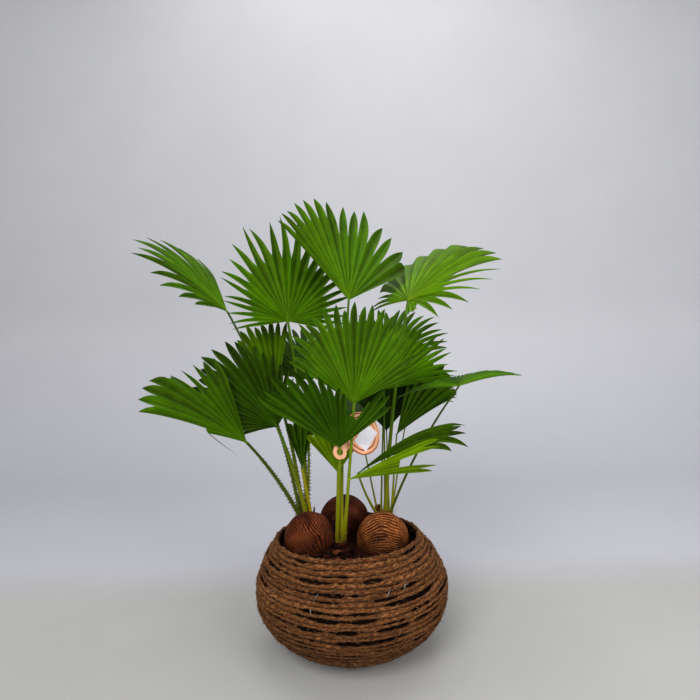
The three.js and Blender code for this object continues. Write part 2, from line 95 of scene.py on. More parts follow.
FRONDS = {
    "top": dict(
        crown="front", slot=60, hub=(7, 5, 588), bow=(-4, 12, 0), aim=(75, 61),
        face=(-62, 22), reach=207, spread=106, turn=-4, skew=-0.07, cup=6, droop=0.06,
        pitch=7.6, crowd=0.22, tone="bright", shade=(-0.07, -0.07),
        lobes=((-1.1, -0.3, 0.74, 0.1, 0), (0.74, 1.1, 0.78, -0.1, 0.11)),
    ),
    "upper_left": dict(
        crown="left", slot=0, ring=0, hub=(-105, 60, 555), bow=(8, 2, 0), aim=(105, 74),
        face=(-75, 15), reach=222, spread=205, turn=3, skew=0.04, side=0.5, fall=2.8,
        droop=0.14, curl=0.04, split=0.58, pitch=8.2, tip=2.2, thin=0.22, sway=0.03,
        stalk=1.25, tone="bright", spines=1, shade=(0.1, 0.04),
    ),
    "far_left": dict(
        crown="left", slot=190, hub=(-202, 5, 574), bow=(12, 24, 4), aim=(180, 52),
        face=(-25, 36), reach=190, spread=92, turn=-16, skew=0.3, side=0.5, fall=0.9, cup=8,
        droop=0.42, split=0.56, pitch=8.2, tip=2.8, tone="bright", bark="dark", spines=1,
        shade=(-0.12, -0.12),
    ),
    "upper_right": dict(
        crown="right", slot=0, ring=0, hub=(112, 30, 586), bow=(-6, 4, 0), aim=(0, 36),
        face=(-137, 52), reach=185, spread=252, turn=-9, skew=-0.12, side=0.48, fall=2.2,
        cup=8, droop=0.42, split=0.5, pitch=11.2, tip=2.2, thin=0.12, torn=0.25, stalk=1.3,
        tone="light", shade=(0.3, 0.34),
        lobes=(
            (-0.71, -0.14, 0.93, 0, 0), (-0.14, 0.16, 0.78, 0, 0), (0.16, 0.43, 0.42, 0.35, 0),
            (0.43, 0.74, 0.42, -0.3, -0.05), (0.74, 1.1, 0.6, 0, 0.7),
        ),
    ),
    "middle": dict(
        crown="front", slot=350, hub=(11, -92, 423), bow=(0, -24, 0), aim=(92, 66),
        face=(-88, 24), reach=188, spread=122, turn=5, skew=-0.04, side=0.6, cup=12,
        droop=0.12, curl=0.05, split=0.68, pitch=5.6, torn=0.16, tone="bright", bark="pale",
        shade=(-0.1, -0.1),
    ),
    "left": dict(
        crown="left", slot=290, hub=(-119, -20, 377), bow=(4, 0, 0), aim=(165, 50),
        face=(-80, 26), reach=190, spread=132, turn=4, skew=-0.08, side=0.3, fall=1.2,
        droop=0.35, split=0.7, pitch=6.4, torn=0.14, stalk=1.4, spines=1, shade=(-0.2, -0.28),
    ),
    "lower_left": dict(
        crown="left", slot=235, hub=(-163, -60, 360), bow=(2, 0, 8), aim=(172, 42),
        face=(-95, 45), reach=198, spread=60, turn=1, side=0.78, droop=0.3, split=0.75,
        pitch=6, tip=2.3, stalk=1.2, tone="fresh", bark="dark", spines=1, shade=(0.12, -0.36),
        hang=(0.33, 0, -0.3),
        lobes=(
            (-1.1, -0.8, 0.3, 0.62, 0.55), (-0.8, 0.05, 0.84, 0, 0), (0.05, 0.55, 0.55, 0.3, 0.12),
        ),
    ),
    "front": dict(
        crown="front", slot=225, hub=(-12.5, -97, 357), bow=(0, -6, 0), aim=(-90, 81),
        face=(-82, -9), reach=100, spread=108, turn=-1, skew=-0.4, side=1.3, fall=6,
        droop=0.04, split=0.76, pitch=6.4, torn=0.12, stalk=1.1, bark="pale",
        shade=(0.08, 0.08), lobes=((0.2, 0.62, 0.5, 0.25, 0.5), (0.62, 1.1, 0.93, 0, -0.3)),
    ),
    "inner_right": dict(
        crown="right", slot=45, hub=(72, 85, 345), bow=(0, 4, 0), aim=(95, 76),
        face=(-80, 14), reach=120, spread=90, droop=0.1, split=0.86, stalk=0.8, tone="dark",
    ),
    "mid_right": dict(
        crown="right", slot=335, hub=(89, 62, 342), aim=(10, 52), face=(-110, 35), reach=165,
        spread=46, turn=-2, droop=0.25, split=0.88, stalk=0.8, tone="fresh", shade=(0.05, 0.15),
    ),
    "right": dict(
        crown="right", slot=85, hub=(68, 76, 423), aim=(20, 52), face=(-100, 34), reach=156,
        spread=100, side=0.85, split=0.64, pitch=6.2, tip=2.4, thin=0.06, torn=0.12,
        stalk=0.8, tone="bright", shade=(0.3, 0.4),
    ),
    "far_right": dict(
        crown="right", slot=290, hub=(180, -62, 443), bow=(-7, 8, 4), aim=(75, 16),
        face=(-128, 60), reach=87, spread=164, skew=-0.05, cup=6, droop=0.42, split=0.5,
        side=1.28, tip=9, stalk=0.8, tone="bright", bark="dark", shade=(0.16, 0.16),
    ),
    "lower_right": dict(
        crown="right", slot=235, hub=(15, -35, 299), bow=(-4, -4, 0), aim=(-14, 34),
        face=(-110, 45), reach=210, spread=11, turn=-2.5, skew=-0.12, side=0.9, cup=5,
        droop=0.76, split=0.8, pitch=2.2, tip=2, torn=0.12, stalk=0.8, tone="fresh",
        shade=(-0.18, -0.24),
    ),
    "young_right": dict(
        crown="front", slot=285, hub=(-1, -95, 306), bow=(2, -10, 0), aim=(-6, 17),
        face=(-95, 28), reach=148, spread=21, turn=-1, skew=-0.1, cup=5, droop=0.1,
        split=0.55, side=0.95, pitch=3.5, tip=2.6, stalk=0.9, tone="young", bark="pale",
        lobes=((-1.1, -0.4, 0.8, 0, 0), (-0.4, 0.4, 0.56, 0.8, 0.43), (0.4, 1.1, 0.76, 0, 0)),
    ),
    "young_front": dict(
        crown="front", slot=140, hub=(-19, -20, 296), aim=(95, 72), face=(-90, 15), reach=90,
        spread=80, droop=0.1, split=0.9, side=0.9, pitch=9, stalk=0.9, tone="young",
        bark="pale",
    ),
    "young_left": dict(
        crown="left", slot=345, hub=(-83, 20, 294), aim=(-90, 82), face=(-60, -6), reach=100,
        spread=40, droop=0.1, split=0.9, side=0.9, pitch=10, stalk=1.3, tone="fresh",
        bark="yellow",
    ),
    "inner_left": dict(
        crown="left", slot=135, hub=(-128, 50, 430), bow=(6, 4, 0), aim=(120, 70),
        face=(-85, 20), reach=142, spread=50, turn=-5, droop=0.05, side=0.92, split=0.75,
        pitch=6, stalk=1.25, tone="light", spines=1, shade=(0.02, -0.1),
    ),
    "back_right": dict(
        crown="right", slot=125, hub=(75, 130, 470), bow=(0, 10, 0), aim=(75, 52),
        face=(-105, 38), reach=155, spread=150, droop=0.3, stalk=0.62, tone="bright",
        shade=(0.2, 0.2),
    ),
    "back_left": dict(
        crown="left", slot=80, hub=(-75, 130, 440), bow=(0, 10, 0), aim=(105, 45),
        face=(-75, 45), reach=175, spread=160, droop=0.35, stalk=0.8, spines=1,
    ),
    "back_low": dict(
        crown="right", slot=165, hub=(20, 165, 350), bow=(0, 20, 0), aim=(95, 22),
        face=(-85, 68), reach=165, spread=150, droop=0.4, stalk=0.62,
    ),
    "side_right": dict(
        crown="right", slot=10, hub=(118, 115, 385), bow=(0, 10, 0), aim=(50, 28),
        face=(-130, 62), reach=110, spread=140, droop=0.4, stalk=0.62,
    ),
}
TAG = dict(
    ring=(-12.9, -94.7, 349), back=22, yaw=30, card=(46.5, 24.2), neck=13, oval=(32, 35),
    ring_outer=11.5, ring_inner=5.4, slit=1.0, thick=1.2,
)
LABEL = dict(middle=(51.7, 17), size=(25, 39), turn=-47, corner=1.6)

# ---- number helpers ----
UP = np.array([0.0, 0.0, 1.0])


def unit(v):
    v = np.asarray(v, float)
    return v / np.maximum(np.linalg.norm(v, axis=-1, keepdims=True), 1e-12)


def way(heading, rise):
    """The unit vector that points that way."""
    h, r = math.radians(heading), math.radians(rise)
    return np.array([math.cos(h) * math.cos(r), math.sin(h) * math.cos(r), math.sin(r)])


def spin(count):
    """Angles in equal steps round a circle."""
    return np.linspace(0, 2 * math.pi, count, endpoint=False)


def joined(x, y, z):
    """Points from three numbers or arrays, spread to one shape."""
    return np.stack(np.broadcast_arrays(x, y, z), -1)


def polar(radius, angle, z, centre=(0, 0)):
    """Points at that radius and angle, in radians, round an upright line."""
    return joined(centre[0] + radius * np.cos(angle), centre[1] + radius * np.sin(angle), z)


def hashed(cells, seed):
    """A number from 0 to 1 for each integer cell."""
    c = cells.astype(np.int64)
    n = c[..., 0] * 73856093 ^ c[..., 1] * 19349663 ^ c[..., 2] * 83492791 ^ seed * 2654435761
    n = (n ^ (n >> 13)) * 1274126177 & 0x7FFFFFFF
    return ((n ^ (n >> 16)) & 0xFFFFF) / float(0xFFFFF)


def noise(p, seed):
    """Smooth gradient noise, from about -1 to 1, at points given in cells."""
    p = np.asarray(p, float)
    base = np.floor(p)
    f = p - base
    s = f * f * f * (f * (f * 6 - 15) + 10)
    total = 0.0
    for corner in range(8):
        d = np.array([corner & 1, corner >> 1 & 1, corner >> 2 & 1])
        slope = np.stack([hashed(base + d, seed * 3 + k) for k in range(3)], -1) * 2 - 1
        w = np.prod(np.where(d, s, 1 - s), axis=-1)
        total = total + w * np.sum(slope * (f - d), axis=-1)
    return np.clip(total * 1.7, -1, 1)


# ---- meshes ----
MATERIALS = {}


def placed(name, data):
    """A new object in the scene with that data."""
    ob = bpy.data.objects.new(name, data)
    bpy.context.scene.collection.objects.link(ob)
    return ob


class Pile:
    """Points, faces and the numbers that the materials read, for one piece."""

    def __init__(self):
        self.points, self.faces, self.slots, self.grain, self.tint = [], [], [], [], []
        self.count = 0

    def add(self, points, faces, slot=0, grain=None, tint=0.5):
        """faces: a list of arrays of shape (n, 3) or (n, 4), numbered from 0 in points."""
        points = np.reshape(points, (-1, 3))
        n = len(points)
        self.points.append(points)
        self.grain.append(np.zeros((n, 3)) if grain is None else np.reshape(grain, (-1, 3)))
        self.tint.append(np.broadcast_to(np.ravel(tint), n))
        for block in faces:
            self.faces.append(block + self.count)
            self.slots.append(np.full(len(block), slot))
        self.count += n

    def make(self, name, materials, nodes, smooth=True, sharp=None):
        """The piece, which stands for these nodes of the CAD and has that finish."""
        used = np.zeros(self.count, bool)
        for block in self.faces:
            used[block.ravel()] = True
        new = np.cumsum(used) - 1
        me = bpy.data.meshes.new(name)

        def fill(group, key, values, kind=np.float32):
            group.foreach_set(key, np.ravel(values).astype(kind))

        points = np.concatenate(self.points)[used] * MM
        me.vertices.add(len(points))
        fill(me.vertices, "co", points)
        loops = np.concatenate([new[block].ravel() for block in self.faces])
        me.loops.add(len(loops))
        fill(me.loops, "vertex_index", loops, np.int32)
        sizes = np.concatenate([np.full(len(block), block.shape[1]) for block in self.faces])
        me.polygons.add(len(sizes))
        fill(me.polygons, "loop_start", np.cumsum(sizes) - sizes, np.int32)
        fill(me.polygons, "material_index", np.concatenate(self.slots), np.int32)
        fill(me.polygons, "use_smooth", np.full(len(sizes), smooth), bool)
        me.update(calc_edges=True)
        grain = me.attributes.new("grain", "FLOAT_VECTOR", "POINT")
        fill(grain.data, "vector", np.concatenate(self.grain)[used])
        tint = me.attributes.new("tint", "FLOAT", "POINT")
        fill(tint.data, "value", np.concatenate(self.tint)[used])
        me.validate()
        if sharp is not None:
            me.set_sharp_from_angle(angle=math.radians(sharp))
        for key in materials:
            me.materials.append(MATERIALS[key])
        ob = placed(name, me)
        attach(ob, "root")
        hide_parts(*nodes)


def tube_faces(rows, around):
    """Quads for rows of points round a tube, and a cap of triangles at each end."""
    k, j = np.meshgrid(np.arange(rows - 1), np.arange(around), indexing="ij")
    a = k * around + j
    b = k * around + (j + 1) % around
    quads = np.stack([a, b, b + around, a + around], -1).reshape(-1, 4)
    j = np.arange(1, around - 1)
    last = (rows - 1) * around
    return [quads, joined(0, j + 1, j), joined(last, last + j, last + j + 1)]


def hoop_faces(steps, sides):
    """Quads for a closed hoop: steps of points round it, each with that many sides."""
    k, j = np.meshgrid(np.arange(steps), np.arange(sides), indexing="ij")
    here, after = k * sides, (k + 1) % steps * sides
    nj = (j + 1) % sides
    return [np.stack([here + j, after + j, after + nj, here + nj], -1).reshape(-1, 4)]


def slab(front, back):
    """A closed sheet between two grids of the same shape."""
    rows, cols = front.shape[:2]
    n = rows * cols
    k, j = np.meshgrid(np.arange(rows - 1), np.arange(cols - 1), indexing="ij")
    a = (k * cols + j).ravel()
    quads = np.stack([a, a + 1, a + cols + 1, a + cols], -1)
    rim = np.concatenate([
        np.arange(cols - 1), np.arange(cols - 1, n - 1, cols),
        np.arange(n - 1, n - cols, -1), np.arange(n - cols, 0, -cols),
    ])
    after = np.roll(rim, -1)
    walls = np.stack([rim, rim + n, after + n, after], -1)
    return np.stack([front, back]), [quads, quads[:, ::-1] + n, walls]


def plate(outline, low, high):
    """A closed flat solid with that outline, between two heights."""
    n = len(outline)
    i = np.arange(n)
    points = np.concatenate([np.column_stack([outline, np.full(n, z)]) for z in (low, high)])
    walls = np.stack([i, (i + 1) % n, (i + 1) % n + n, i + n], -1)
    return points, [i[None, ::-1], i[None] + n, walls]


def frames_along(line, hint):
    """Tangent, side and across unit vectors at each point of a line."""
    tangent = unit(np.gradient(line, axis=0))
    side = unit(hint - (tangent @ hint)[:, None] * tangent)
    return tangent, side, np.cross(tangent, side)


def slivers(roots, ways, lengths, widths, bend, rng):
    """Thin three-sided fibres: two rings and a tip each. Returns points and faces."""
    n = len(roots)
    ways = unit(ways)
    other = unit(np.cross(ways, unit(rng.normal(size=(n, 3)))))
    third = np.cross(ways, other)
    curve = unit(rng.normal(size=(n, 3))) * (bend * lengths)[:, None]
    middle = roots + ways * (lengths * 0.5)[:, None] + curve * 0.3
    tip = roots + ways * lengths[:, None] + curve
    ring = [(other * math.cos(a) + third * math.sin(a)) * widths[:, None] for a in spin(3)]
    points = [roots + r for r in ring] + [middle + r * 0.7 for r in ring] + [tip]
    base = (np.arange(n) * len(points))[:, None, None]
    faces3 = np.array([[0, 2, 1], [3, 4, 6], [4, 5, 6], [5, 3, 6]]) + base
    faces4 = np.array([[0, 1, 4, 3], [1, 2, 5, 4], [2, 0, 3, 5]]) + base
    return np.stack(points, 1), [faces4.reshape(-1, 4), faces3.reshape(-1, 3)]


# ---- materials ----
LEAF_SHEEN = (0.75, 1.0, 0.1, 1.0)
LEAF_THROUGH = 0.2  # share of the light that a leaf lets through


def linear(rgb):
    """A colour given in 0 to 255 as the renderer's linear colour."""
    c = np.asarray(rgb, float) / 255
    out = np.where(c <= 0.04045, c / 12.92, ((c + 0.055) / 1.055) ** 2.4)
    return (*map(float, out), 1.0)


class Nodes:
    """Small helper that adds and links the nodes of one material."""

    def __init__(self, name):
        material = MATERIALS[name] = bpy.data.materials.new(name)
        material.use_nodes = True
        self.tree = material.node_tree
        self.tree.nodes.clear()

    def add(self, kind, inputs=None, **settings):
        """A node with these inputs: links, values, or None for what it has by itself."""
        node = self.tree.nodes.new("ShaderNode" + kind)
        for key, value in settings.items():
            setattr(node, key, value)
        for key, value in (inputs or {}).items():
            if isinstance(value, bpy.types.NodeSocket):
                self.tree.links.new(value, node.inputs[key])
            elif value is not None:
                node.inputs[key].default_value = value
        return node

    def attribute(self, name, output="Vector"):
        return self.add("Attribute", attribute_name=name).outputs[output]

    def place(self):
        return self.add("TexCoord").outputs["Object"]

    def part(self, vector, axis):
        return self.add("SeparateXYZ", {"Vector": vector}).outputs[axis]

    def noise(self, vector, scale, detail=3.0, rough=0.6):
        return self.add(
            "TexNoise", {"Vector": vector, "Scale": scale, "Detail": detail, "Roughness": rough}
        ).outputs["Fac"]

    def streaks(self, scale, detail, rough=0.6):
        """Noise over the mesh's own grain, with a scale for each direction."""
        inputs = {"Vector": self.attribute("grain"), "Scale": scale}
        return self.noise(self.add("Mapping", inputs).outputs["Vector"], 1.0, detail, rough)

    def ramp(self, fac, stops):
        node = self.add("ValToRGB", {"Fac": fac})
        ramp = node.color_ramp
        while len(ramp.elements) < len(stops):
            ramp.elements.new(0.5)
        for element, (at, colour) in zip(ramp.elements, stops):
            element.position = at
            element.color = linear(colour)
        return node.outputs["Color"]

    def mix(self, fac, a, b, blend="MIX"):
        return self.add("Mix", {0: fac, 6: a, 7: b}, data_type="RGBA", blend_type=blend).outputs[2]

    def dimmed(self, colour, level):
        """The colour times a number."""
        grey = self.add("CombineColor", {"Red": level, "Green": level, "Blue": level})
        return self.mix(1.0, colour, grey.outputs["Color"], "MULTIPLY")

    def range(self, value, low, high, to_low, to_high):
        """The value moved from one range to another, and kept inside it."""
        return self.add(
            "MapRange",
            {"Value": value, "From Min": low, "From Max": high, "To Min": to_low, "To Max": to_high},
        ).outputs["Result"]

    def combine(self, a, b, operation="ADD"):
        return self.add("Math", {0: a, 1: b}, operation=operation).outputs[0]

    def bump(self, height, strength, distance, normal=None):
        inputs = {"Height": height, "Strength": strength, "Distance": distance, "Normal": normal}
        return self.add("Bump", inputs).outputs["Normal"]

    def finish(self, colour, rough, normal=None, through=0.0, **values):
        """The surface; other values name its inputs, with _ for each space."""
        inputs = {"Base Color": colour, "Roughness": rough, "Normal": normal}
        for key, value in values.items():
            inputs[key.replace("_", " ")] = value
        shader = self.add("BsdfPrincipled", inputs).outputs["BSDF"]
        if through:
            back = self.add("BsdfTranslucent", {"Color": colour}).outputs["BSDF"]
            shader = self.add("MixShader", {"Fac": through, 1: shader, 2: back}).outputs["Shader"]
        self.add("OutputMaterial", {"Surface": shader})


def leaf_material(name, dark, mid, light):
    """Streaks that run with the leaflet, a shade for each leaflet with painted light and shade on its
    folds, and a waxy gloss.
    """
    n = Nodes(name)
    streaks = n.streaks((0.8, 0.016, 1), 4.0, 0.7)
    veins = n.streaks((2.4, 0.02, 1), 2.0, 0.5)
    colour = n.ramp(streaks, [(0.34, dark), (0.5, mid), (0.68, light)])
    # the tint holds each leaflet's own tone, painted light and shade on its folds, and the row's
    # partly painted shade
    colour = n.dimmed(colour, n.range(n.attribute("tint", "Fac"), 0, 1, 0.28, 1.5))
    # paler near the stalk, darker towards the tips, and clouded
    along = n.range(n.part(n.attribute("grain"), "Y"), 10, 190, 1.14, 0.84)
    cloud = n.range(n.noise(n.place(), 17.0, 2.0, 0.5), 0.3, 0.7, 0.76, 1.22)
    colour = n.dimmed(colour, n.combine(along, cloud, "MULTIPLY"))
    blotch = n.noise(n.place(), 42.0)
    colour = n.mix(n.range(blotch, 0.5, 0.78, 0.0, 0.4), colour, linear(light))
    n.finish(
        colour, n.range(streaks, 0.3, 0.7, 0.46, 0.6), n.bump(veins, 0.45, 0.0003), LEAF_THROUGH,
        Specular_IOR_Level=0.3, Specular_Tint=LEAF_SHEEN)


def plain_material(name, colours, scale, rough=(0.5, 0.7), bump=0.3, depth=0.0004, detail=4.0,
                   **values):
    """Two or three mottled colours from one noise; a scale of three numbers follows the grain."""
    n = Nodes(name)
    if isinstance(scale, tuple):
        spots = n.streaks(scale, detail, 0.65)
    else:
        spots = n.noise(n.place(), scale, detail, 0.65)
    stops = (0.3, 0.7) if len(colours) == 2 else (0.3, 0.5, 0.72)
    values.setdefault("Specular_IOR_Level", 0.12)
    n.finish(
        n.ramp(spots, list(zip(stops, colours))), n.range(spots, 0.3, 0.7, *rough),
        n.bump(spots, bump, depth), **values)


def stalk_material(name, base, low, high):
    """Brown at the sheath, pale above it and green further up, with fine lengthwise lines."""
    n = Nodes(name)
    wander = n.range(n.noise(n.place(), 30.0, 2.0), 0.3, 0.7, -0.012, 0.012)
    level = n.combine(n.part(n.place(), "Z"), wander)
    between = tuple((np.array(low) + high) / 2)
    stops = [(0.02, base), (0.16, low), (0.5, between), (0.8, high)]
    colour = n.ramp(n.range(level, 0.17, 0.42, 0.0, 1.0), stops)
    lines = n.streaks((1.3, 0.02, 1), 3.0)
    colour = n.mix(n.range(lines, 0.4, 0.75, 0.0, 0.4), colour, linear(base))
    n.finish(
        colour, n.range(lines, 0.3, 0.7, 0.4, 0.55), n.bump(lines, 0.3, 0.0003),
        Specular_IOR_Level=0.3, Specular_Tint=LEAF_SHEEN)


def rope_material():
    """Coarse yarn: light and dark fibre side by side, with a tone of its own for each stretch,
    and painted highlight on each strand's crest and painted shade on its flanks.
    """
    n = Nodes("rope")
    yarn = n.streaks((0.13, 0.42, 1), 6.0, 0.8)
    fleck = n.streaks((0.3, 0.6, 1), 3.0)
    stops = [(0.38, (24, 10, 4)), (0.45, (70, 37, 16)), (0.54, (112, 69, 36)), (0.66, (164, 116, 72))]
    colour = n.ramp(yarn, stops)
    # the tint: each stretch's own tone, with painted highlight on the crests and painted shade on the
    # flanks
    colour = n.dimmed(colour, n.range(n.attribute("tint", "Fac"), 0, 1, 0.3, 1.6))
    colour = n.mix(n.range(fleck, 0.58, 0.66, 0.0, 0.75), colour, linear((28, 11, 5)))
    # darker towards the foot
    colour = n.dimmed(colour, n.range(n.part(n.place(), "Z"), 0.0, 0.11, 0.66, 1.0))
    n.finish(
        colour, 0.95, n.bump(yarn, 1.0, 0.0016, n.bump(fleck, 0.8, 0.001)),
        Specular_IOR_Level=0.1, Sheen_Weight=0.15, Sheen_Roughness=0.4,
        Sheen_Tint=(0.75, 0.42, 0.2, 1.0))


def nut_material(name, groove, body, crest):
    """Dark grooves and paler crests, from the height that the mesh itself has:
    painted shade in the grooves and painted highlight on the crests.
    """
    n = Nodes(name)
    fine = n.streaks((0.9, 0.07, 1), 5.0, 0.7)
    worn = n.noise(n.place(), 24.0)
    level = n.combine(n.attribute("tint", "Fac"), n.range(fine, 0.32, 0.68, -0.5, 0.5))
    colour = n.ramp(level, [(0.16, groove), (0.4, body), (0.66, body), (0.96, crest)])
    colour = n.mix(n.range(worn, 0.5, 0.7, 0.0, 0.7), colour, linear(groove), "MULTIPLY")
    colour = n.mix(n.range(worn, 0.3, 0.46, 0.5, 0.0), colour, linear(crest))
    # darker towards the fill: partly painted shade where the nut sits down in the bowl, partly damp
    colour = n.dimmed(colour, n.range(n.part(n.place(), "Z"), 0.17, 0.232, 0.16, 1.1))
    n.finish(
        colour, n.range(fine, 0.3, 0.7, 0.55, 0.7), n.bump(fine, 0.6, 0.0006),
        Specular_IOR_Level=0.07)


def card_material():
    """Printed wood: a few uneven rings round a knot, peach with brown lines."""
    n = Nodes("card_print")
    knot = {"Location": (-1.40, -0.66, 0), "Scale": (1 / 33, 1 / 36, 0)}
    place = n.add("Mapping", {"Vector": n.attribute("grain"), **knot}).outputs["Vector"]
    wave = n.add(
        "TexWave",
        {"Vector": place, "Scale": 1.7, "Distortion": 2.4, "Detail": 2.0, "Detail Scale": 0.8},
        wave_type="RINGS", rings_direction="Z",
    ).outputs["Fac"]
    lines = n.ramp(wave, [(0.08, (124, 58, 34)), (0.26, (190, 118, 78)), (0.5, (222, 164, 122))])
    # the lines come and go on the card, and the hook is plain
    drift = n.streaks((0.06, 0.06, 1), 2.0)
    colour = n.mix(n.range(drift, 0.36, 0.5, 0.8, 0.0), lines, linear((216, 156, 114)))
    away = n.add("VectorMath", {0: place}, operation="LENGTH").outputs["Value"]
    colour = n.mix(n.range(away, 1.0, 1.15, 0.0, 1.0), colour, linear((214, 156, 116)))
    n.finish(colour, 0.6, Specular_IOR_Level=0.2)


def floor_material():
    """Pale floor and wall in one, darker above the floor and a little lighter to the right:
    painted shade low on the wall and painted light across it.
    """
    n = Nodes("floor_pale")
    place = n.place()
    spots = n.noise(place, 3.0, 5.0)
    wall = n.ramp(spots, [(0.3, (188, 188, 191)), (0.7, (192, 192, 195))])
    ground = n.ramp(spots, [(0.3, (165, 164, 161)), (0.7, (171, 170, 167))])
    upright = n.range(n.part(place, "Y"), 0.15, 0.3, 0.0, 1.0)
    foot = n.mix(upright, ground, linear((160, 160, 172)))
    colour = n.mix(upright, ground, wall)
    # painted shade: the wall darker just above the floor
    colour = n.mix(n.range(n.part(place, "Z"), 0.0, 0.5, 0.4, 0.0), colour, foot)
    # painted light: a little lighter to the right
    colour = n.dimmed(colour, n.range(n.part(place, "X"), -0.5, 0.5, 0.965, 1.05))
    specks = n.noise(place, 260.0, 2.0)
    colour = n.mix(n.range(specks, 0.68, 0.74, 0.0, 0.3), colour, linear((138, 136, 134)))
    n.finish(colour, 0.75, n.bump(specks, 0.1, 0.0004))


# for each tone three colours of the leaf and two of its ribs; the tones are partly the leaves'
# own greens and partly lit and shaded copies of one green: painted light and painted shade
TONES = {
    "bright": ((34, 70, 0), (53, 96, 0), (78, 121, 2), (72, 108, 2), (96, 132, 12)),
    "light": ((46, 82, 0), (68, 108, 1), (98, 134, 6), (88, 120, 4), (116, 148, 20)),
    "fresh": ((27, 60, 0), (43, 80, 0), (67, 107, 2), (58, 94, 2), (82, 118, 12)),
    "mid": ((16, 44, 0), (28, 61, 0), (48, 86, 2), (44, 78, 2), (66, 100, 10)),
    "dark": ((5, 22, 1), (11, 36, 1), (26, 58, 4), (16, 44, 3), (34, 66, 8)),
    "young": ((62, 92, 0), (88, 119, 2), (116, 146, 8), (108, 134, 8), (134, 156, 26)),
}
for tone, (dark, mid, light, *rib) in TONES.items():
    leaf_material("leaf_" + tone, dark, mid, light)
    plain_material("rib_" + tone, rib, 60, (0.5, 0.6), Specular_IOR_Level=0.1)
stalk_material("stalk_green", (96, 62, 16), (132, 130, 22), (60, 98, 14))
stalk_material("stalk_pale", (132, 108, 24), (142, 146, 20), (84, 116, 14))
stalk_material("stalk_yellow", (150, 120, 24), (176, 160, 24), (130, 140, 16))
stalk_material("stalk_dark", (84, 50, 16), (76, 90, 20), (40, 68, 13))
plain_material("spine", ((16, 18, 8), (44, 44, 20)), 300)
plain_material(
    "sheath", ((58, 30, 12), (104, 62, 28), (146, 98, 52)), (1.1, 0.04, 1), (0.7, 0.9), 0.6, 0.0006)
rope_material()
plain_material("fibre_light", ((118, 80, 48), (160, 116, 76)), 80)
plain_material("fibre_mid", ((74, 42, 22), (106, 68, 38)), 80)
plain_material("fibre_dark", ((24, 10, 5), (50, 25, 13)), 80)
plain_material(
    "liner", ((9, 5, 3), (24, 13, 8)), 220, (0.9, 1.0), 0.8, 0.001, Specular_IOR_Level=0.03)
plain_material(
    "husk", ((5, 2, 1), (14, 5, 3), (34, 13, 7)), 160, (0.85, 1.0), 0.9, 0.0015, 6.0,
    Specular_IOR_Level=0.03)
plain_material(
    "chip_dark", ((12, 4, 2), (36, 12, 6)), 240, (0.8, 0.95), 0.7, 0.0006, Specular_IOR_Level=0.04)
plain_material(
    "chip_red", ((26, 8, 4), (62, 22, 11)), 240, (0.75, 0.9), 0.7, 0.0006, Specular_IOR_Level=0.06)
plain_material("chip_tan", ((60, 26, 14), (100, 52, 28)), 240, (0.75, 0.9), 0.7, 0.0006)
plain_material("wire", ((150, 150, 148), (190, 190, 186)), 500, (0.3, 0.4), Metallic=1.0)
nut_material("nut_left", (8, 3, 1), (52, 19, 7), (136, 66, 29))
nut_material("nut_right", (24, 8, 3), (98, 46, 17), (190, 116, 58))
nut_material("nut_back", (9, 3, 1), (38, 14, 5), (92, 42, 17))
card_material()
plain_material(
    "label_paper", ((208, 206, 212), (222, 220, 226)), 300, (0.55, 0.65), 0.1, 0.0001)
floor_material()


# ---- fronds ----
ROWS = 24  # rows of points along a leaflet, after the first
PLEAT = 0.3  # fold height as a share of a leaflet's width
FOLD = np.array([0.5, -0.03, -0.5, -0.03])  # height of the fold: edge, quarter, rib, quarter
# the fold tones are painted light and shade: raised edges lighter, sunken ribs darker
FOLD_PAINTED_LIGHT = np.array([0.3, 0.0, -0.28, 0.0])  # and how much lighter each of those lines is
LEAF_THICK = 0.5
HANG_PART = 0.4  # where a hanging leaflet parts from the next one
UNEVEN_PART, UNEVEN_LENGTH = 0.024, 0.012  # as shares of a leaflet's length
LEAST_ROWS = 3  # rows that a notch keeps from the heel and from the tips
MIDRIB = (0.4125, 0.15)  # half width of a rib at the hub and at its end
EDGE_RIB = (0.3375, 0.1875)
RIB_HIGH = (0.62, 0.42)  # half height of each, at both ends
KEEL_ROWS, KEEL = 6, (-0.01, 0.13)  # the keel's ends as shares of the reach
SOFT_FOLD = 0.02  # rounds the fold along a fan's middle
SLIM = 0.82  # a stalk's width as a share of the CAD's
STALK_STEPS, STALK_SIDES = 44, 12
SWELL, SWELL_LONG = 0.55, 14.0  # how much thicker the foot is, and over what length
CHANNEL_DEEP, CHANNEL_WIDE = 0.28, 0.55  # as a share of the radius, and in radians
SPINE_STEP, SPINE_LONG, SPINE_WIDE = 6.4, 5.0, 1.3
BLADE_SEED, STALK_SEED = 100, 300


def stalk_line(f):
    """The CAD's curve from the sheath to the hub."""
    centre, r, top = CROWNS[f["crown"]]
    foot = polar((r - STALK_R * 1.25) * f["ring"], math.radians(f["slot"]), top - CROWN_SINK, centre)
    middle = (foot + f["hub"]) / 2 + f["bow"] * 2
    t = np.linspace(0, 1, STALK_STEPS)[:, None]
    return (1 - t) ** 2 * foot + 2 * t * (1 - t) * middle + t * t * f["hub"]


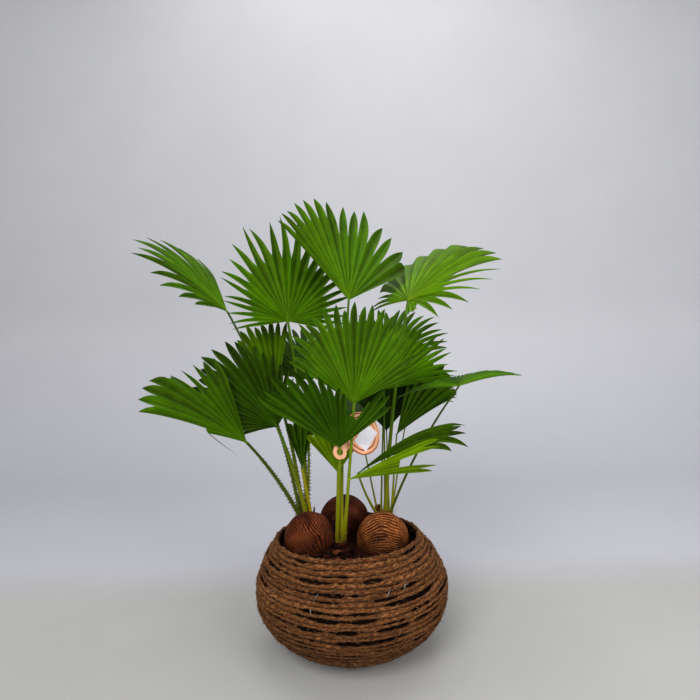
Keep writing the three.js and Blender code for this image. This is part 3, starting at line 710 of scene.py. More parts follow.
def fan_lines(f):
    """The blade's surface as lines from heel to tip, four for each leaflet and one more."""
    aim = way(*f["aim"])
    face = way(*f["face"])
    face = unit(face - (face @ aim) * aim)
    right = np.cross(aim, face)
    n = max(4, round(f["spread"] / f["pitch"]))
    share = np.linspace(-1, 1, 4 * n + 1)
    share = share - f["crowd"] * (1 - share**2)
    phi = np.radians(share * f["spread"] / 2 + f["turn"])
    cup = math.radians(f["cup"])
    fold = np.sqrt(np.sin(phi) ** 2 + SOFT_FOLD) - math.sqrt(SOFT_FOLD)
    out = unit(
        np.cos(phi)[:, None] * aim
        + (np.sin(phi) * math.cos(cup))[:, None] * right
        + (fold * math.sin(cup))[:, None] * face
    )
    shape = np.maximum(np.cos(share * math.pi / 2), 0) ** f["fall"]
    length = f["reach"] * (f["side"] + (1 - f["side"]) * shape) * (1 + f["skew"] * share)
    step = (1 - HEEL) / ROWS
    t = HEEL + step * np.arange(ROWS + 1)

    def bend(t):
        return unit(out - UP * (f["droop"] * t**1.6) - face * (f["curl"] * t * t))

    at = [f["hub"] + HEEL * length[:, None] * out]
    for k in range(ROWS):
        at.append(at[-1] + bend(t[k] + step / 2) * (step * length)[:, None])
    at, along = np.stack(at, 1), np.stack([bend(u) for u in t], 1)
    across = unit(np.concatenate([at[1:], at[-1:]]) - np.concatenate([at[:1], at[:-1]]))
    up = unit(np.cross(across, along))
    pitch = math.radians(f["spread"] / n)
    lift = FOLD[np.arange(4 * n + 1) % 4, None] * PLEAT * pitch * length[:, None] * t
    return SimpleNamespace(
        n=n, share=share, length=length, t=t, at=at + up * lift[..., None], across=across, up=up,
        aim=aim, face=face, pitch=pitch)


def notches(f, fan, rng):
    """The row where two leaflets part, for each shared edge: sooner towards the sides."""
    edge = fan.share[::4]
    part = f["split"] * (1 - f["deep"] * np.abs(edge) ** 2)
    part = part + rng.normal(0, UNEVEN_PART, fan.n + 1)
    for low, high, level, _, _ in f["lobes"]:
        part = np.where((edge > low) & (edge < high), level, part)
    if f["hang"]:
        part[1] = HANG_PART
    part[0], part[-1] = part[1], part[-2]
    notch = np.round((part - HEEL) / (1 - HEEL) * ROWS).astype(int)
    return np.clip(notch, LEAST_ROWS, ROWS - LEAST_ROWS)


def leaflets(f, fan, notch, rng):
    """Bends each leaflet, and narrows it beyond its notches towards its tip.

    Returns the fan's lines and each leaflet's two free edges, and their upward directions.
    """
    row = np.arange(ROWS + 1)
    lines, ups = fan.at.copy(), fan.up.copy()
    edges = np.zeros((fan.n, 2, ROWS + 1, 3))
    edge_ups = np.zeros_like(edges)
    for i in range(fan.n):
        rib = 4 * i + 2
        middle, across, up, length = fan.at[rib], fan.across[rib], fan.up[rib], fan.length[rib]
        first = min(notch[i], notch[i + 1])
        x = np.clip((row - first) / (ROWS - first), 0, 1)[:, None]
        sway = rng.normal(0, f["sway"])
        dip = abs(rng.normal(f["dip"], f["dip"] * 0.6))
        grow = rng.normal(0, UNEVEN_LENGTH) - f["torn"] * rng.random() ** 2
        thin = f["thin"] * rng.uniform(0.6, 1.2)
        for low, high, _, slim, cut in f["lobes"]:
            if low < fan.share[rib] < high:
                grow, sway, thin = -cut, 0.0, slim
        along = unit(np.gradient(middle, axis=0))
        bent = across * sway * x**2 - UP * dip * x**2 + along * grow * x
        if i == 0 and f["hang"]:
            bent = bent + np.array(f["hang"]) * x**1.5
        lines[rib] = middle + bent * length
        for side, (edge, quarter) in enumerate(((rib - 2, rib - 1), (rib + 2, rib + 1))):
            s = notch[i + side]
            z = np.clip((row - s) / (ROWS - s), 0, 1)
            width = ((1 - z ** f["tip"]) ** 1.15 * (1 - thin * np.minimum(z * 5, 1)))[:, None]

            def beside(line):
                off = fan.at[line, s] - middle[s]
                return lines[rib] + (across * (off @ across[s]) + up * (off @ up[s])) * width

            edges[i, side] = beside(edge)
            edge_ups[i, side] = up
            free = (row > s)[:, None]
            lines[quarter] = np.where(free, beside(quarter), lines[quarter])
            ups[quarter] = np.where(free, up, ups[quarter])
    return lines, edges, ups, edge_ups


def leaf_grain(f, fan, seed, rng):
    """Each point's place across and along its leaflet, in millimetres, and its lightness."""
    n = fan.n
    line = np.arange(4 * n + 1)
    leaflet = np.minimum(line // 4, n - 1)
    wide = ((line / 4 - leaflet - 0.5) * fan.pitch * fan.length)[:, None] * fan.t
    grain = joined(
        wide + leaflet[:, None] * 37.0, fan.length[:, None] * fan.t,
        leaflet[:, None] + seed * 11.0)
    edges = np.stack([grain[:-1:4], grain[3::4]], 1)
    # each leaflet has its own tone, and folds are lighter than valleys: painted light on the raised
    # folds and painted shade in the valleys; the row's shade is partly painted light as well
    own = 0.25 + 0.5 * rng.random(n) + np.linspace(*f["shade"], n)
    tint = np.concatenate([own[leaflet] + FOLD_PAINTED_LIGHT[line % 4], np.repeat(own + FOLD_PAINTED_LIGHT[0], 2)])
    return (
        np.concatenate([grain.reshape(-1, 3), edges.reshape(-1, 3), np.zeros((1, 3))]),
        np.append(np.repeat(tint, ROWS + 1), 0.6))


def leaf_faces(n, notch, hub):
    """Quads, triangles and the open border of one side of the blade."""
    row = np.arange(ROWS + 1)
    leaflet = np.arange(n)[:, None]
    column = (4 * leaflet[..., None] + np.arange(5)[:, None]) * (ROWS + 1) + row
    for place, side in ((0, 0), (4, 1)):
        free = (4 * n + 1 + 2 * leaflet + side) * (ROWS + 1) + row
        column[:, place] = np.where(row > notch[side:n + side, None], free, column[:, place])
    column[:, :, ROWS] = column[:, 2:3, ROWS]
    left, right = column[:, :-1], column[:, 1:]
    quads = np.stack([left[..., :-2], right[..., :-2], right[..., 1:-1], left[..., 1:-1]], -1)
    tips = np.stack([left[..., -2], right[..., -2], right[..., -1]], -1)
    first = np.append(column[:, :4, 0], column[-1, 4, 0])
    heel = joined(hub, first[1:], first[:-1])
    walls = []
    start = [0, *notch[1:-1], 0]
    for i in range(n):
        for edge, low, turn in ((column[i, 0], start[i], -1), (column[i, 4], start[i + 1], 1)):
            walls.append(np.stack([edge[low:-1], edge[low + 1:]][::turn], -1))
    walls.append(np.array([[first[0], hub], [hub, first[-1]]]))
    return quads.reshape(-1, 4), np.concatenate([tips.reshape(-1, 3), heel]), np.concatenate(walls)


def rib_bar(pile, hub, line, across, up, widths):
    """A thin four-sided bar along a fold, proud of the blade on both sides."""
    line, across, up = (np.concatenate([v[:1], v]) for v in (line, across, up))
    line[0] = hub + (line[0] - hub) * 0.2
    w = np.linspace(*widths, len(line))[:, None]
    h = np.linspace(*RIB_HIGH, len(line))[:, None]
    ring = np.stack([line + across * w, line + up * h, line - across * w, line - up * h], 1)
    pile.add(ring, tube_faces(len(line), 4), 1)


def blade(name, f, seed):
    """A thin closed pleated fan with its ribs."""
    rng = np.random.default_rng(seed)
    fan = fan_lines(f)
    notch = notches(f, fan, rng)
    lines, edges, ups, edge_ups = leaflets(f, fan, notch, rng)
    points = np.concatenate([lines.reshape(-1, 3), edges.reshape(-1, 3), f["hub"][None]])
    raised = np.concatenate([ups.reshape(-1, 3), edge_ups.reshape(-1, 3), fan.face[None]])
    raised = raised * LEAF_THICK / 2
    grain, tint = leaf_grain(f, fan, seed, rng)
    total = len(points)
    quads, tris, walls = leaf_faces(fan.n, notch, total - 1)
    a, b = walls.T
    walls = np.stack([a, a + total, b + total, b], -1)
    pile = Pile()
    pile.add(
        np.stack([points + raised, points - raised]),
        [quads, quads[:, ::-1] + total, tris, tris[:, ::-1] + total, walls],
        0, np.tile(grain, (2, 1)), np.tile(tint, 2))

    def rib(line, rows, widths):
        across, up = fan.across[line, :rows], fan.up[line, :rows]
        rib_bar(pile, f["hub"], lines[line, :rows], across, up, widths)

    # a midrib for each leaflet to near its tip, and a finer one on each shared edge
    for i in range(fan.n):
        rib(4 * i + 2, ROWS, MIDRIB)
        if i:
            rib(4 * i, notch[i], EDGE_RIB)
    # the stalk's end runs on under the blade
    ahead = np.outer(np.linspace(*KEEL, KEEL_ROWS) * f["reach"], fan.aim)
    keel = f["hub"] + ahead - fan.face * 0.5
    w = np.linspace(STALK_TIP_R * f["stalk"], 0.5, KEEL_ROWS)[:, None]
    side, up = np.cross(fan.aim, fan.face) * w, fan.face * w
    ring = np.stack([keel + side, keel + up * 0.8, keel - side, keel - up * 0.9], 1)
    pile.add(ring, tube_faces(KEEL_ROWS, 4), 1)
    pile.make(
        "fan_" + name, ["leaf_" + f["tone"], "rib_" + f["tone"]], ["blade_" + name],
        sharp=24)


def stalk(name, f, seed):
    """A channelled stalk that widens into its sheath, with dark spines on its two margins."""
    rng = np.random.default_rng(seed)
    line = stalk_line(f)
    outward = unit(f["hub"] * [0.25, 1, 0] + [6, -90, 0])
    tangent, side, across = frames_along(line, outward)
    reach = np.concatenate([[0], np.cumsum(np.linalg.norm(np.diff(line, axis=0), axis=1))])
    r = np.linspace(STALK_R, STALK_TIP_R, STALK_STEPS) * f["stalk"] * SLIM
    r = r * (1 + SWELL * np.exp(-reach / SWELL_LONG))
    angle = spin(STALK_SIDES)
    # flat on the inner side, with a shallow channel
    channel = 1 - CHANNEL_DEEP * np.exp(-(((angle - math.pi) / CHANNEL_WIDE) ** 2))
    uneven = (r * (1 + 0.03 * noise(joined(reach / 9, 0, seed), seed)))[:, None]
    deep = (np.cos(angle) * 0.9 * channel * uneven)[..., None]
    wide = (np.sin(angle) * 1.12 * uneven)[..., None]
    ring = line[:, None] + side[:, None] * deep + across[:, None] * wide
    pile = Pile()
    grain = joined(angle * 3.5, reach[:, None], seed * 3.0)
    pile.add(ring, tube_faces(STALK_STEPS, STALK_SIDES), 0, grain)
    for margin in (-1, 1) if f["spines"] else ():
        at = np.arange(12, reach[-1] * 0.8, SPINE_STEP)
        at = at + rng.uniform(-2, 2, len(at))

        def sample(values):
            return np.stack([np.interp(at, reach, v) for v in values.T], -1)

        out = sample(across) * margin
        root = sample(line) + out * (np.interp(at, reach, r) * 1.02)[:, None]
        fade = 1 - 0.5 * at / reach[-1]
        ways = out - sample(tangent) * 0.45
        pile.add(*slivers(root, ways, SPINE_LONG * fade, SPINE_WIDE * fade, 0.06, rng), 1)
    pile.make(
        "petiole_" + name, ["stalk_" + f["bark"], "spine"], ["stalk_" + name], sharp=60)


for number, (name, row) in enumerate(FRONDS.items()):
    frond = {**DEFAULTS, **row}
    frond.update({key: np.array(frond[key], float) for key in ("hub", "bow")})
    blade(name, frond, BLADE_SEED + number)
    stalk(name, frond, STALK_SEED + number)


# ---- crowns: fibrous sheaths round the foot of each plant ----
CROWN_ROWS, CROWN_SIDES = 18, 40
FLAPS, FLAP_ROWS, FLAP_COLUMNS, FLAP_THICK = 9, 12, 9, 0.9
CROWN_FIBRES, CROWN_FIBRE_LONG, CROWN_FIBRE_WIDE = 90, (8, 20), (0.18, 0.32)
CROWN_SEED = 40


def crown(name, seed):
    """A ribbed body with overlapping torn flaps of sheath and loose fibres."""
    rng = np.random.default_rng(seed)
    centre, r, top = CROWNS[name]
    pile = Pile()
    z = np.linspace(FILL_Z - 12, top + 3, CROWN_ROWS)[:, None]
    s = np.linspace(0, 1, CROWN_ROWS)[:, None]
    angle = spin(CROWN_SIDES)
    ripple = noise(joined(angle * 5, z / 40, float(seed)), seed)
    radius = r * (0.98 - 0.16 * s - 0.25 * s**6) * (1 + 0.09 * ripple)
    grain = joined(angle * r, z, float(seed))
    pile.add(polar(radius, angle, z, centre), tube_faces(CROWN_ROWS, CROWN_SIDES), 0, grain)
    u = np.linspace(-1, 1, FLAP_COLUMNS)
    v = np.linspace(0, 1, FLAP_ROWS)[:, None]
    for k in range(FLAPS):
        heading, half = rng.uniform(0, 2 * math.pi), rng.uniform(0.35, 0.7)
        low, high = FILL_Z - 4 + k * 1.5, top + rng.uniform(-2, 16)
        angle = heading + u * half * (1 - 0.75 * v**2.2)
        wavy = 0.4 * noise(joined(u * 2, v * 3, float(k)), seed)
        radius = r * (1.03 + 0.01 * k) + 1.5 * v**2 + wavy
        ragged = 2.5 * noise(joined(u * 6, 0 * v, float(k)), seed) * v**3
        z = low + (high - low) * v + ragged
        outer, inner = (polar(radius - deep, angle, z, centre) for deep in (0, FLAP_THICK))
        grain = joined(angle * r, z, float(k))
        pile.add(*slab(outer, inner), 0, np.stack([grain, grain]))
    m = CROWN_FIBRES
    angle = rng.uniform(0, 2 * math.pi, m)
    root = polar(r * 1.02, angle, rng.uniform(FILL_Z, top + 6, m), centre)
    out = polar(1, angle, rng.uniform(0.8, 3.0, m)) + rng.normal(0, 0.3, (m, 3))
    lengths, widths = rng.uniform(*CROWN_FIBRE_LONG, m), rng.uniform(*CROWN_FIBRE_WIDE, m)
    pile.add(*slivers(root, out, lengths, widths, 0.25, rng), 1)
    pile.make("sheath_" + name, ["sheath", "fibre_mid"], ["crown_" + name], sharp=50)


for number, name in enumerate(CROWNS):
    crown(name, CROWN_SEED + number)


# ---- bowl ----
STRANDS = 30  # two for each turn of the CAD's bowl
STRAND_STEP = 3.6  # between two rings of points along a strand
STRAND_SIDES = 10
LOOSE, TIGHT = 0.8, 0.5  # widest gap, in strand widths, above each pair of strands and inside it
FIBRES_PER_STEP = 1.25
ROPE_FIBRE_LONG, ROPE_FIBRE_WIDE = (3, 11), (0.2, 0.5)
ROPE_FIBRE_KINDS = [0.4, 0.35, 0.25]  # shares of light, middle and dark ones
ROPE_SEED = 7
LINER_DEEP, LINER_THICK, LINER_SIDES = 5.5, 2.5, 96
LINER_FLOOR = (2.0, 6.0)  # heights of its underside and upper side
STAPLES = [  # heading and height of the middle, length and slant
    (-110, 143, 9, 0.02), (-112, 125, 9, -0.01), (-68, 146, 8, 0.03), (-56, 150, 8, 0.03),
    (-142, 134, 6, 0.04), (-140, 121, 5, 0.03),
]
STAPLE_ROWS, STAPLE_SIDES, STAPLE_R, STAPLE_HIGH = 9, 6, 0.3, 0.9


def bowl_radius(z):
    """The CAD's outline of the bowl."""
    low = np.abs(1 - np.minimum(z, POT_BELLY_Z) / POT_BELLY_Z)
    high = np.maximum(z - POT_BELLY_Z, 0) / (POT_RIM_Z - POT_BELLY_Z)
    return np.where(
        z < POT_BELLY_Z,
        POT_BELLY_R - (POT_BELLY_R - POT_FOOT_R) * low**POT_FOOT_CURVE,
        POT_BELLY_R - (POT_BELLY_R - POT_MOUTH_R) * high**POT_SHOULDER_CURVE,
    )


def rim_side(x, y):
    """How far a point lies to the side where the rim is lifted, from -1 to 1 at the mouth."""
    a = math.radians(RIM_LIFT_AT)
    return (x * math.cos(a) + y * math.sin(a)) / POT_MOUTH_R


def lean(p):
    """Shifts the mouth and lifts one side of the rim, as in the CAD."""
    p = np.array(p, float)
    u = np.clip((p[..., 2] - POT_BELLY_Z) / (POT_RIM_Z - POT_BELLY_Z), 0, None) ** 2
    lifted = RIM_LIFT * u * rim_side(p[..., 0], p[..., 1])
    p[..., 0] += MOUTH_SHIFT * u
    p[..., 2] += lifted
    return p


def arc_table():
    """Along the bowl's side, by arc length: radius, height and the outward direction."""
    z = np.linspace(0, POT_RIM_Z, 800)
    r = bowl_radius(z)
    s = np.concatenate([[0], np.cumsum(np.hypot(np.diff(r), np.diff(z)))])
    return s, r, z, np.gradient(z, s), -np.gradient(r, s)


def winding(heading, total, i):
    """Arc position and half width of one strand at each heading: gaps open and close beside it."""
    width = total / STRANDS

    def border(k):
        """Arc position of the border below strand k, and the gap there."""
        if k in (0, STRANDS):
            return k * width + 0 * heading, 0 * heading
        ring = polar(1, heading, k * 5.3)
        drift = 0.16 * width * noise(ring * [3.4, 3.4, 1], 15)
        here = noise(ring * [2.8, 2.8, 1] + 9, 5) * 2.3 + 1.4 - 1.9 * k / STRANDS
        here = here + 0.8 * noise(ring * [9, 9, 1], 6)
        return k * width + drift, (TIGHT if k % 2 else LOOSE) * width * np.clip(here, 0, 1)

    low, low_gap = border(i)
    high, high_gap = border(i + 1)
    low, high = low + low_gap / 2, high - high_gap / 2
    return (low + high) / 2, (high - low) / 2


def strand(pile, i, table, rng):
    """One lumpy strand. Returns the roots and the directions of its loose fibres."""
    arc_s, *columns = table
    rough_r = np.interp((i + 0.5) * arc_s[-1] / STRANDS, arc_s, columns[0])
    steps = int(2 * math.pi * rough_r / STRAND_STEP)
    heading = spin(steps)
    at, half = winding(heading, arc_s[-1], i)
    r, z, out_r, out_z = (np.interp(at, arc_s, column) for column in columns)
    inset = half - 1.2 + 0.9 * noise(polar(4, heading, i * 3.7), 3) + rng.normal(0, 0.7)
    r, z = r - out_r * inset, np.maximum(z - out_z * inset, half + 0.2)
    arc = (heading * rough_r)[:, None]
    phi = spin(STRAND_SIDES)
    cell = joined(arc / 5.2 + i * 91, np.cos(phi) * 1.3, np.sin(phi) * 1.3)
    lumps = 0.52 * noise(cell * [0.7, 1, 1], 8) + 0.34 * noise(cell * 2.1, 9)
    form = (half * 0.97)[:, None] * (1 + lumps)
    ring = polar(r[:, None] + form * np.cos(phi), heading[:, None], z[:, None] + form * np.sin(phi))
    ring[..., 2] = np.maximum(ring[..., 2], 0.15)
    ring = lean(ring)
    grain = joined(arc + i * 400.0, phi * 3.9 - arc * 0.22, float(i))
    # the crest of a strand is pale and its flanks are dark: painted highlight on the crest, and on
    # the flanks painted shade of the crevices between strands, partly dirt
    tone = 0.62 + 0.34 * noise(cell * [0.25, 1, 1], 12) + 0.12 * rng.normal()
    facing = np.cos(phi) * out_r[:, None] + np.sin(phi) * out_z[:, None]
    tone = np.clip(tone * np.clip(0.24 + 0.9 * facing, 0.08, 1.12), 0, 1)
    pile.add(ring, hoop_faces(steps, STRAND_SIDES), 0, grain, tone)
    # loose fibres, all round the strand
    m = int(steps * FIBRES_PER_STEP)
    k, j = rng.integers(0, steps, m), rng.integers(0, STRAND_SIDES, m)
    base = ring[k, j]
    out = unit(base - lean(polar(r, heading, z))[k])
    along = joined(-np.sin(heading[k]), np.cos(heading[k]), 0)
    ways = along * rng.choice([-1, 1], m)[:, None] + out * rng.uniform(0.05, 0.6, m)[:, None]
    return base - out * 0.4, ways + rng.normal(0, 0.25, (m, 3))


def rope_bowl():
    """Strands of coir rope, hairy and unevenly wound."""
    rng = np.random.default_rng(ROPE_SEED)
    table = arc_table()
    coils = Pile()
    fibres = [strand(coils, i, table, rng) for i in range(STRANDS)]
    coils.make("rope_coils", ["rope"], ["pot"])
    roots, ways = (np.concatenate(v) for v in zip(*fibres))
    m = len(roots)
    lengths = rng.uniform(*ROPE_FIBRE_LONG, m)
    # no fibre reaches below the floor
    low = roots[:, 2] + unit(ways)[:, 2] * lengths
    ways[:, 2] = np.where(low < 1.0, np.abs(ways[:, 2]) + 0.1, ways[:, 2])
    widths = rng.uniform(*ROPE_FIBRE_WIDE, m)
    points, faces = slivers(roots, ways, lengths, widths, 0.2, rng)
    points[..., 2] = np.maximum(points[..., 2], 0.05)
    fuzz = Pile()
    fuzz.add(points, faces)
    kind = rng.choice(3, m, p=ROPE_FIBRE_KINDS)
    fuzz.slots = [kind[block[:, 0] // points.shape[1]] for block in faces]
    materials = ["fibre_light", "fibre_mid", "fibre_dark"]
    fuzz.make("rope_fibres", materials, ["pot"], smooth=False)


def liner():
    """The dark liner seen between the strands, and the bowl's floor."""
    z = np.linspace(3, POT_RIM_Z - 6, 40)
    r = bowl_radius(z) - LINER_DEEP
    low, high = LINER_FLOOR
    outer = [(0.4, low), *zip(r, z)]
    inner = [*zip(r[::-1] - LINER_THICK, np.maximum(z[::-1], high)), (0.4, high)]
    profile = np.array(outer + inner)
    ring = lean(polar(profile[:, :1], spin(LINER_SIDES), profile[:, 1:]))
    pile = Pile()
    pile.add(ring, [block[:, ::-1] for block in tube_faces(len(profile), LINER_SIDES)])
    pile.make("bowl_liner", ["liner"], ["pot"], sharp=40)


def staples():
    """Short wire staples that hold the strands where they are wound loosely."""
    pile = Pile()
    s = np.linspace(-1, 1, STAPLE_ROWS)
    turn = spin(STAPLE_SIDES)[:, None]
    for heading, middle, length, slant in STAPLES:
        a = math.radians(heading)
        z = middle + s * length / 2
        out = bowl_radius(z) + STAPLE_HIGH * (1 + np.cos(s * math.pi / 2))
        line = lean(polar(out, a + s * slant, z))
        _, side, across = frames_along(line, way(heading, 0))
        round_line = side[:, None] * np.cos(turn) + across[:, None] * np.sin(turn)
        ring = line[:, None] + STAPLE_R * round_line
        pile.add(ring, tube_faces(STAPLE_ROWS, STAPLE_SIDES))
    pile.make("bowl_staples", ["wire"], ["pot"], sharp=50)


rope_bowl()
liner()
staples()


# ---- fill ----
BED_RINGS, BED_SIDES, BED_R, BED_FOOT_Z = 46, 110, 116, 148
BED_SHIFT = MOUTH_SHIFT * 0.6
CHIPS, CHIP_KINDS = 400, [0.3, 0.45, 0.2, 0.05]  # kinds: shares of husk, dark, red and tan
CHIPS_R = 108
CHIP_SIZES = ((9, 27), (6, 14), (2.5, 7.0))  # least and most: length, width and height
BIG_CHIP_EVERY, BIG_CHIP = 14, (1.5, 1.7, 1.3)
HUSK_FIBRES, HUSK_FIBRE_LONG, HUSK_FIBRE_WIDE = 700, (6, 18), (0.15, 0.35)
HUSK_SEED = 77


def fill_height(x, y):
    """The CAD's domed fill, with bumps."""
    r = np.hypot(x - MOUTH_SHIFT * 0.5, y)
    z = FILL_Z + FILL_CROWN * (1 - np.clip(r / 118, 0, 1) ** 2) + RIM_LIFT * 0.5 * rim_side(x, y)
    p = joined(x / 13, y / 13, 0)
    return z + 2.2 * noise(p, 21) + 1.0 * noise(p * 2.7, 22)


def chip_faces():
    """A chip is two layers of three by three points, with walls between their rims."""
    top = [[i + 9, i + 10, i + 13, i + 12] for i in (0, 1, 3, 4)]
    low = [[i, i + 3, i + 4, i + 1] for i in (0, 1, 3, 4)]
    rim = [0, 1, 2, 5, 8, 7, 6, 3]
    walls = [[a, b, b + 9, a + 9] for a, b in zip(rim, rim[1:] + rim[:1])]
    return [np.array(top + low + walls)]


def husk():
    """An uneven bed with chips of husk and loose fibres on it."""
    rng = np.random.default_rng(HUSK_SEED)
    pile = Pile()
    bed = polar(np.linspace(BED_R, 0.5, BED_RINGS)[:, None], spin(BED_SIDES), 0.0, (BED_SHIFT, 0))
    bed[..., 2] = fill_height(bed[..., 0], bed[..., 1])
    under = bed[:1] * [1, 1, 0] + [0, 0, BED_FOOT_Z]
    pile.add(np.concatenate([under, bed]), tube_faces(BED_RINGS + 1, BED_SIDES))
    faces = chip_faces()
    made = 0
    while made < CHIPS:
        heading, away = rng.uniform(0, 2 * math.pi), CHIPS_R * math.sqrt(rng.random())
        x, y = BED_SHIFT + away * math.cos(heading), away * math.sin(heading)
        size = np.array([rng.uniform(*sizes) for sizes in CHIP_SIZES])
        if made % BIG_CHIP_EVERY == 0:
            size = size * BIG_CHIP
        at = np.array([x, y, fill_height(x, y) + rng.uniform(-0.5, 5.5)])
        if any(np.linalg.norm(at - c) < r + size[0] * 0.42 for c, r in NUTS.values()):
            continue
        if any(math.dist((x, y), c) < r + 4 for c, r, _ in CROWNS.values()):
            continue
        if math.hypot(x - MOUTH_SHIFT, y) + size[0] * 0.5 > CHIPS_R:
            continue
        points = np.array([[i, j, k] for k in (-1, 1) for j in (-1, 0, 1) for i in (-1, 0, 1)], float)
        points[:, :2] *= 1 - 0.3 * rng.random((18, 1))
        points[:, 2] *= 1 - 0.6 * rng.random(18)
        turn = Matrix.Rotation(rng.uniform(0, 6.28), 3, "Z") @ Matrix.Rotation(
            rng.normal(0, 0.45), 3, "X") @ Matrix.Rotation(rng.normal(0, 0.35), 3, "Y")
        points = points * size / 2 @ np.array(turn).T + at
        pile.add(points, faces, int(rng.choice(4, p=CHIP_KINDS)))
        made += 1
    m = HUSK_FIBRES
    heading, away = rng.uniform(0, 2 * math.pi, m), (CHIPS_R - 2) * np.sqrt(rng.random(m))
    root = polar(away, heading, 0.0, (BED_SHIFT, 0))
    root[:, 2] = fill_height(root[:, 0], root[:, 1]) + rng.uniform(0, 3, m)
    ways = rng.normal(0, 1, (m, 3)) * [1, 1, 0.3] + [0, 0, 0.12]
    lengths, widths = rng.uniform(*HUSK_FIBRE_LONG, m), rng.uniform(*HUSK_FIBRE_WIDE, m)
    pile.add(*slivers(root, ways, lengths, widths, 0.3, rng), 4)
    materials = ["husk", "chip_dark", "chip_red", "chip_tan", "fibre_mid"]
    pile.make("husk_fill", materials, ["fill"], smooth=False)


husk()


# ---- nuts ----
GROOVE_WIDE, GROOVE_DEEP = 0.34, 2.6


def two_poles(d, first, second):
    """How far round, in radians, and how far along from pole to pole each direction lies."""

    def flat(v):
        return (v[..., 0] + 1j * v[..., 2]) / (1.0 - v[..., 1] + 1e-6)

    w = (flat(d) - flat(unit(first)) + 1e-9) / (flat(d) - flat(unit(second)) + 1e-9)
    return np.angle(w), np.log(np.abs(w))


def nut(name, first, second, ridges, wander, seed):
    """A ball of fibre: forking ridges that run from one pole to the other, cut into the mesh."""
    centre, radius = NUTS[name]
    bm = bmesh.new()
    bmesh.ops.create_icosphere(bm, subdivisions=7, radius=1.0)
    d = unit([v.co[:] for v in bm.verts])
    faces = np.array([[v.index for v in f.verts] for f in bm.faces])
    bm.free()
    around, along = two_poles(d, first, second)
    belt = 1 / np.cosh(along)
    warp = noise(d * 1.5, seed) + 0.16 * noise(d * 3.4, seed + 1) + 0.03 * noise(d * 8, seed + 2)
    # fewer ridges towards the poles: two sets that fade into each other
    mixed = np.clip((belt - 0.4) / 0.3 + 0.5 * noise(d * 3.1, seed + 3), 0, 1)

    def crest(count, phase):
        x = around * count / (2 * math.pi) + wander * warp * count / 40 + phase
        return np.abs(2 * (x - np.floor(x)) - 1)

    line = crest(ridges, 0.0) * mixed + crest(ridges // 2, 0.3) * (1 - mixed)
    # some grooves fade out for a stretch
    lane = polar(3, around, along * 0.9)
    open_here = np.clip(0.72 + 1.3 * noise(lane, seed + 5), 0.12, 1)
    ridge = 1 - np.exp(-((line / GROOVE_WIDE) ** 2)) * open_here
    ridge = ridge + 0.1 * noise(lane * [6, 6, 2.5], seed + 6)
    cut = GROOVE_DEEP * (ridge - 0.85) * np.minimum(1, belt * 2.5)
    height = radius - 0.5 + 0.7 * noise(d * 2.1, seed + 4) + cut
    grain = joined(around * radius * belt, along * radius, seed)
    pile = Pile()
    # the tint paints shade in the grooves and highlight on the crests
    tint = np.clip(0.5 * ridge + 0.5 * line**1.6, 0, 1)
    pile.add(d * height[:, None] + centre, [faces], 0, grain, tint)
    pile.make("ball_" + name, [name], [name])


nut("nut_left", (0.62, -0.35, -0.7), (-0.6, 0.6, 0.5), 68, 0.7, 11)
nut("nut_right", (-0.9, -0.3, -0.32), (0.88, -0.3, -0.36), 58, 0.7, 23)
nut("nut_back", (-0.97, -0.1, 0.1), (0.9, -0.3, -0.35), 68, 0.6, 37)


# ---- tag ----
def disc(size, middle, thick, hole, slit=0.0, steps=72):
    """A flat closed oval with a round hole, in the plane of the card, with a slit if asked."""
    half = math.asin(slit / 2 / size[0])
    a = np.linspace(-math.pi / 2 + half, 1.5 * math.pi - half, steps, endpoint=bool(slit))
    ways = np.stack([np.cos(a), np.sin(a)], -1)
    inner, outer, h = middle + hole * ways, middle + size * ways, thick / 2
    loop = [(inner, -h), (outer, -h), (outer, h), (inner, h)]
    ring = np.stack([np.column_stack([p, np.full(steps, z)]) for p, z in loop], 1).reshape(-1, 3)
    if slit:
        return ring, [block[:, ::-1] for block in tube_faces(steps, 4)]
    return ring, hoop_faces(steps, 4)


def neck():
    """The strip between the ring and the card, from inside one to inside the other."""
    ahead = unit(TAG["card"])
    side = np.array([-ahead[1], ahead[0]]) * TAG["neck"] / 2
    a, b = ahead * (TAG["ring_inner"] + 2.5), ahead * (math.hypot(*TAG["card"]) - 24)
    h = TAG["thick"] / 2 - 0.12
    return plate(np.array([a - side * 0.8, b - side, b + side, a + side * 0.8]), -h, h)


def label():
    """The bare label stuck on the card, with soft corners."""
    turn = math.radians(LABEL["turn"])
    c, s = math.cos(turn), math.sin(turn)
    corners = np.array([(-1, -1), (1, -1), (1, 1), (-1, 1)]) * LABEL["size"] / 2
    corners = corners @ np.array([[c, s], [-s, c]]) + LABEL["middle"]
    outline = []
    soft = LABEL["corner"]
    for p, before, after in zip(corners, np.roll(corners, 1, 0), np.roll(corners, -1, 0)):
        cut = p + 0.3 * soft * unit(before + after - 2 * p)
        outline += [p + soft * unit(before - p), cut, p + soft * unit(after - p)]
    return plate(np.array(outline), TAG["thick"] / 2 - 0.1, TAG["thick"] / 2 + 0.12)


def tag():
    """Card, hook and strip as one piece, and the label."""
    hook = (TAG["ring_outer"],) * 2
    parts = [
        disc(TAG["oval"], TAG["card"], TAG["thick"] - 0.06, 0.05),
        disc(hook, (0, 0), TAG["thick"], TAG["ring_inner"], TAG["slit"]),
        neck(),
    ]
    # from the card's own plane to its place
    tilt = Matrix.Rotation(math.radians(90 - TAG["back"]), 3, "X")
    turn = np.array(Matrix.Rotation(math.radians(TAG["yaw"]), 3, "Z") @ tilt).T
    for name, material, shapes, sharp in (
        ("tag_card", "card_print", parts, 30), ("tag_label", "label_paper", [label()], None),
    ):
        pile = Pile()
        for flat, faces in shapes:
            pile.add(flat @ turn + TAG["ring"], faces, 0, flat)
        pile.make(name, [material], ["tag"], sharp is not None, sharp)


tag()


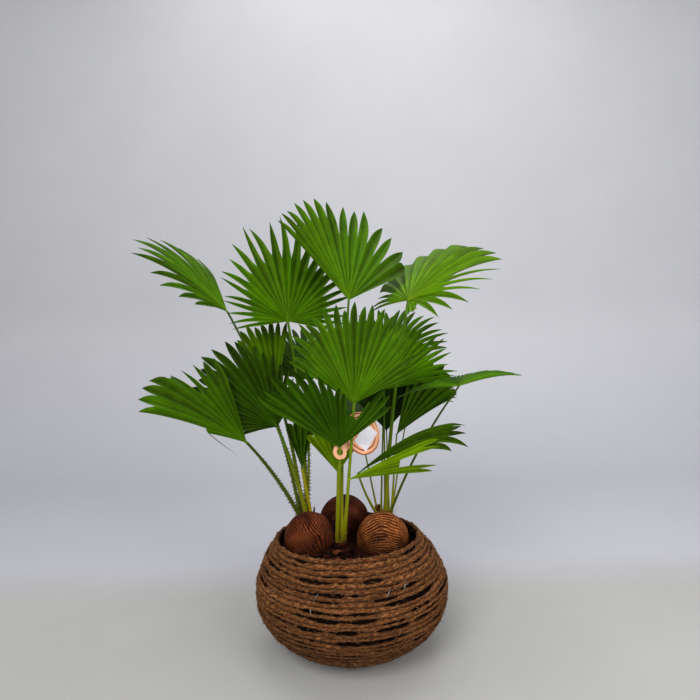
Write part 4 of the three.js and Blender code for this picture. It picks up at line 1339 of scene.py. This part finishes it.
# ---- stage, light and camera, in metres ----
STAGE_HALF_WIDTH, STAGE_FRONT, STAGE_TOP = 5.0, -4.0, 5.0
SWEEP_FROM, SWEEP_R, SWEEP_STEPS = 0.9, 0.7, 12
LIGHTS_AIM = Vector((0, 0, 0.4))
LIGHTS = {  # place, size and power
    "key": ((-0.9, -2.0, 2.0), 1.3, 50),
    "fill": ((1.7, -1.9, 1.2), 1.6, 38),
    "top": ((0.1, 0.5, 2.6), 2.0, 26),
}
SKY, SKY_STRENGTH = (0.93, 0.95, 1.0, 1), 0.45
CAMERA_AT = (0.007, -0.899, 0.541)
CAMERA_DOWN, CAMERA_ROLL, LENS, SENSOR = 2.45, -1.5, 27.0, 36.0


def stage():
    """A floor that sweeps up into a wall."""
    bend = np.linspace(0, math.pi / 2, SWEEP_STEPS + 1)
    y = [STAGE_FRONT, *(SWEEP_FROM + SWEEP_R * np.sin(bend)), SWEEP_FROM + SWEEP_R]
    z = [0.0, *(SWEEP_R - SWEEP_R * np.cos(bend)), STAGE_TOP]
    points = [(x, b, c) for b, c in zip(y, z) for x in (-STAGE_HALF_WIDTH, STAGE_HALF_WIDTH)]
    faces = [(2 * i, 2 * i + 1, 2 * i + 3, 2 * i + 2) for i in range(len(y) - 1)]
    me = bpy.data.meshes.new("floor")
    me.from_pydata(points, [], faces)
    me.materials.append(MATERIALS["floor_pale"])
    me.polygons.foreach_set("use_smooth", [True] * len(faces))
    floor = placed("floor", me)


def lights():
    """Soft lights round the plant and a pale sky."""
    for name, (place, size, power) in LIGHTS.items():
        data = bpy.data.lights.new(name, "AREA")
        data.size, data.energy = size, power
        lamp = placed(name, data)
        lamp.location = place
        lamp.rotation_mode = "QUATERNION"
        lamp.rotation_quaternion = (LIGHTS_AIM - Vector(place)).to_track_quat("-Z", "Y")
    world = bpy.data.worlds.new("studio")
    world.use_nodes = True
    background = world.node_tree.nodes["Background"]
    background.inputs["Color"].default_value = SKY
    background.inputs["Strength"].default_value = SKY_STRENGTH
    bpy.context.scene.world = world


def camera():
    """The view from the front, a little above the middle of the crown."""
    data = bpy.data.cameras.new("camera")
    data.sensor_fit = "HORIZONTAL"
    data.sensor_width = SENSOR
    data.lens = LENS
    ob = placed("camera", data)
    ob.matrix_world = (
        Matrix.Translation(CAMERA_AT)
        @ Matrix.Rotation(math.radians(90 - CAMERA_DOWN), 4, "X")
        @ Matrix.Rotation(math.radians(CAMERA_ROLL), 4, "Z")
    )
    bpy.context.scene.camera = ob
    bpy.context.scene.view_settings.view_transform = "Standard"


stage()
lights()
camera()
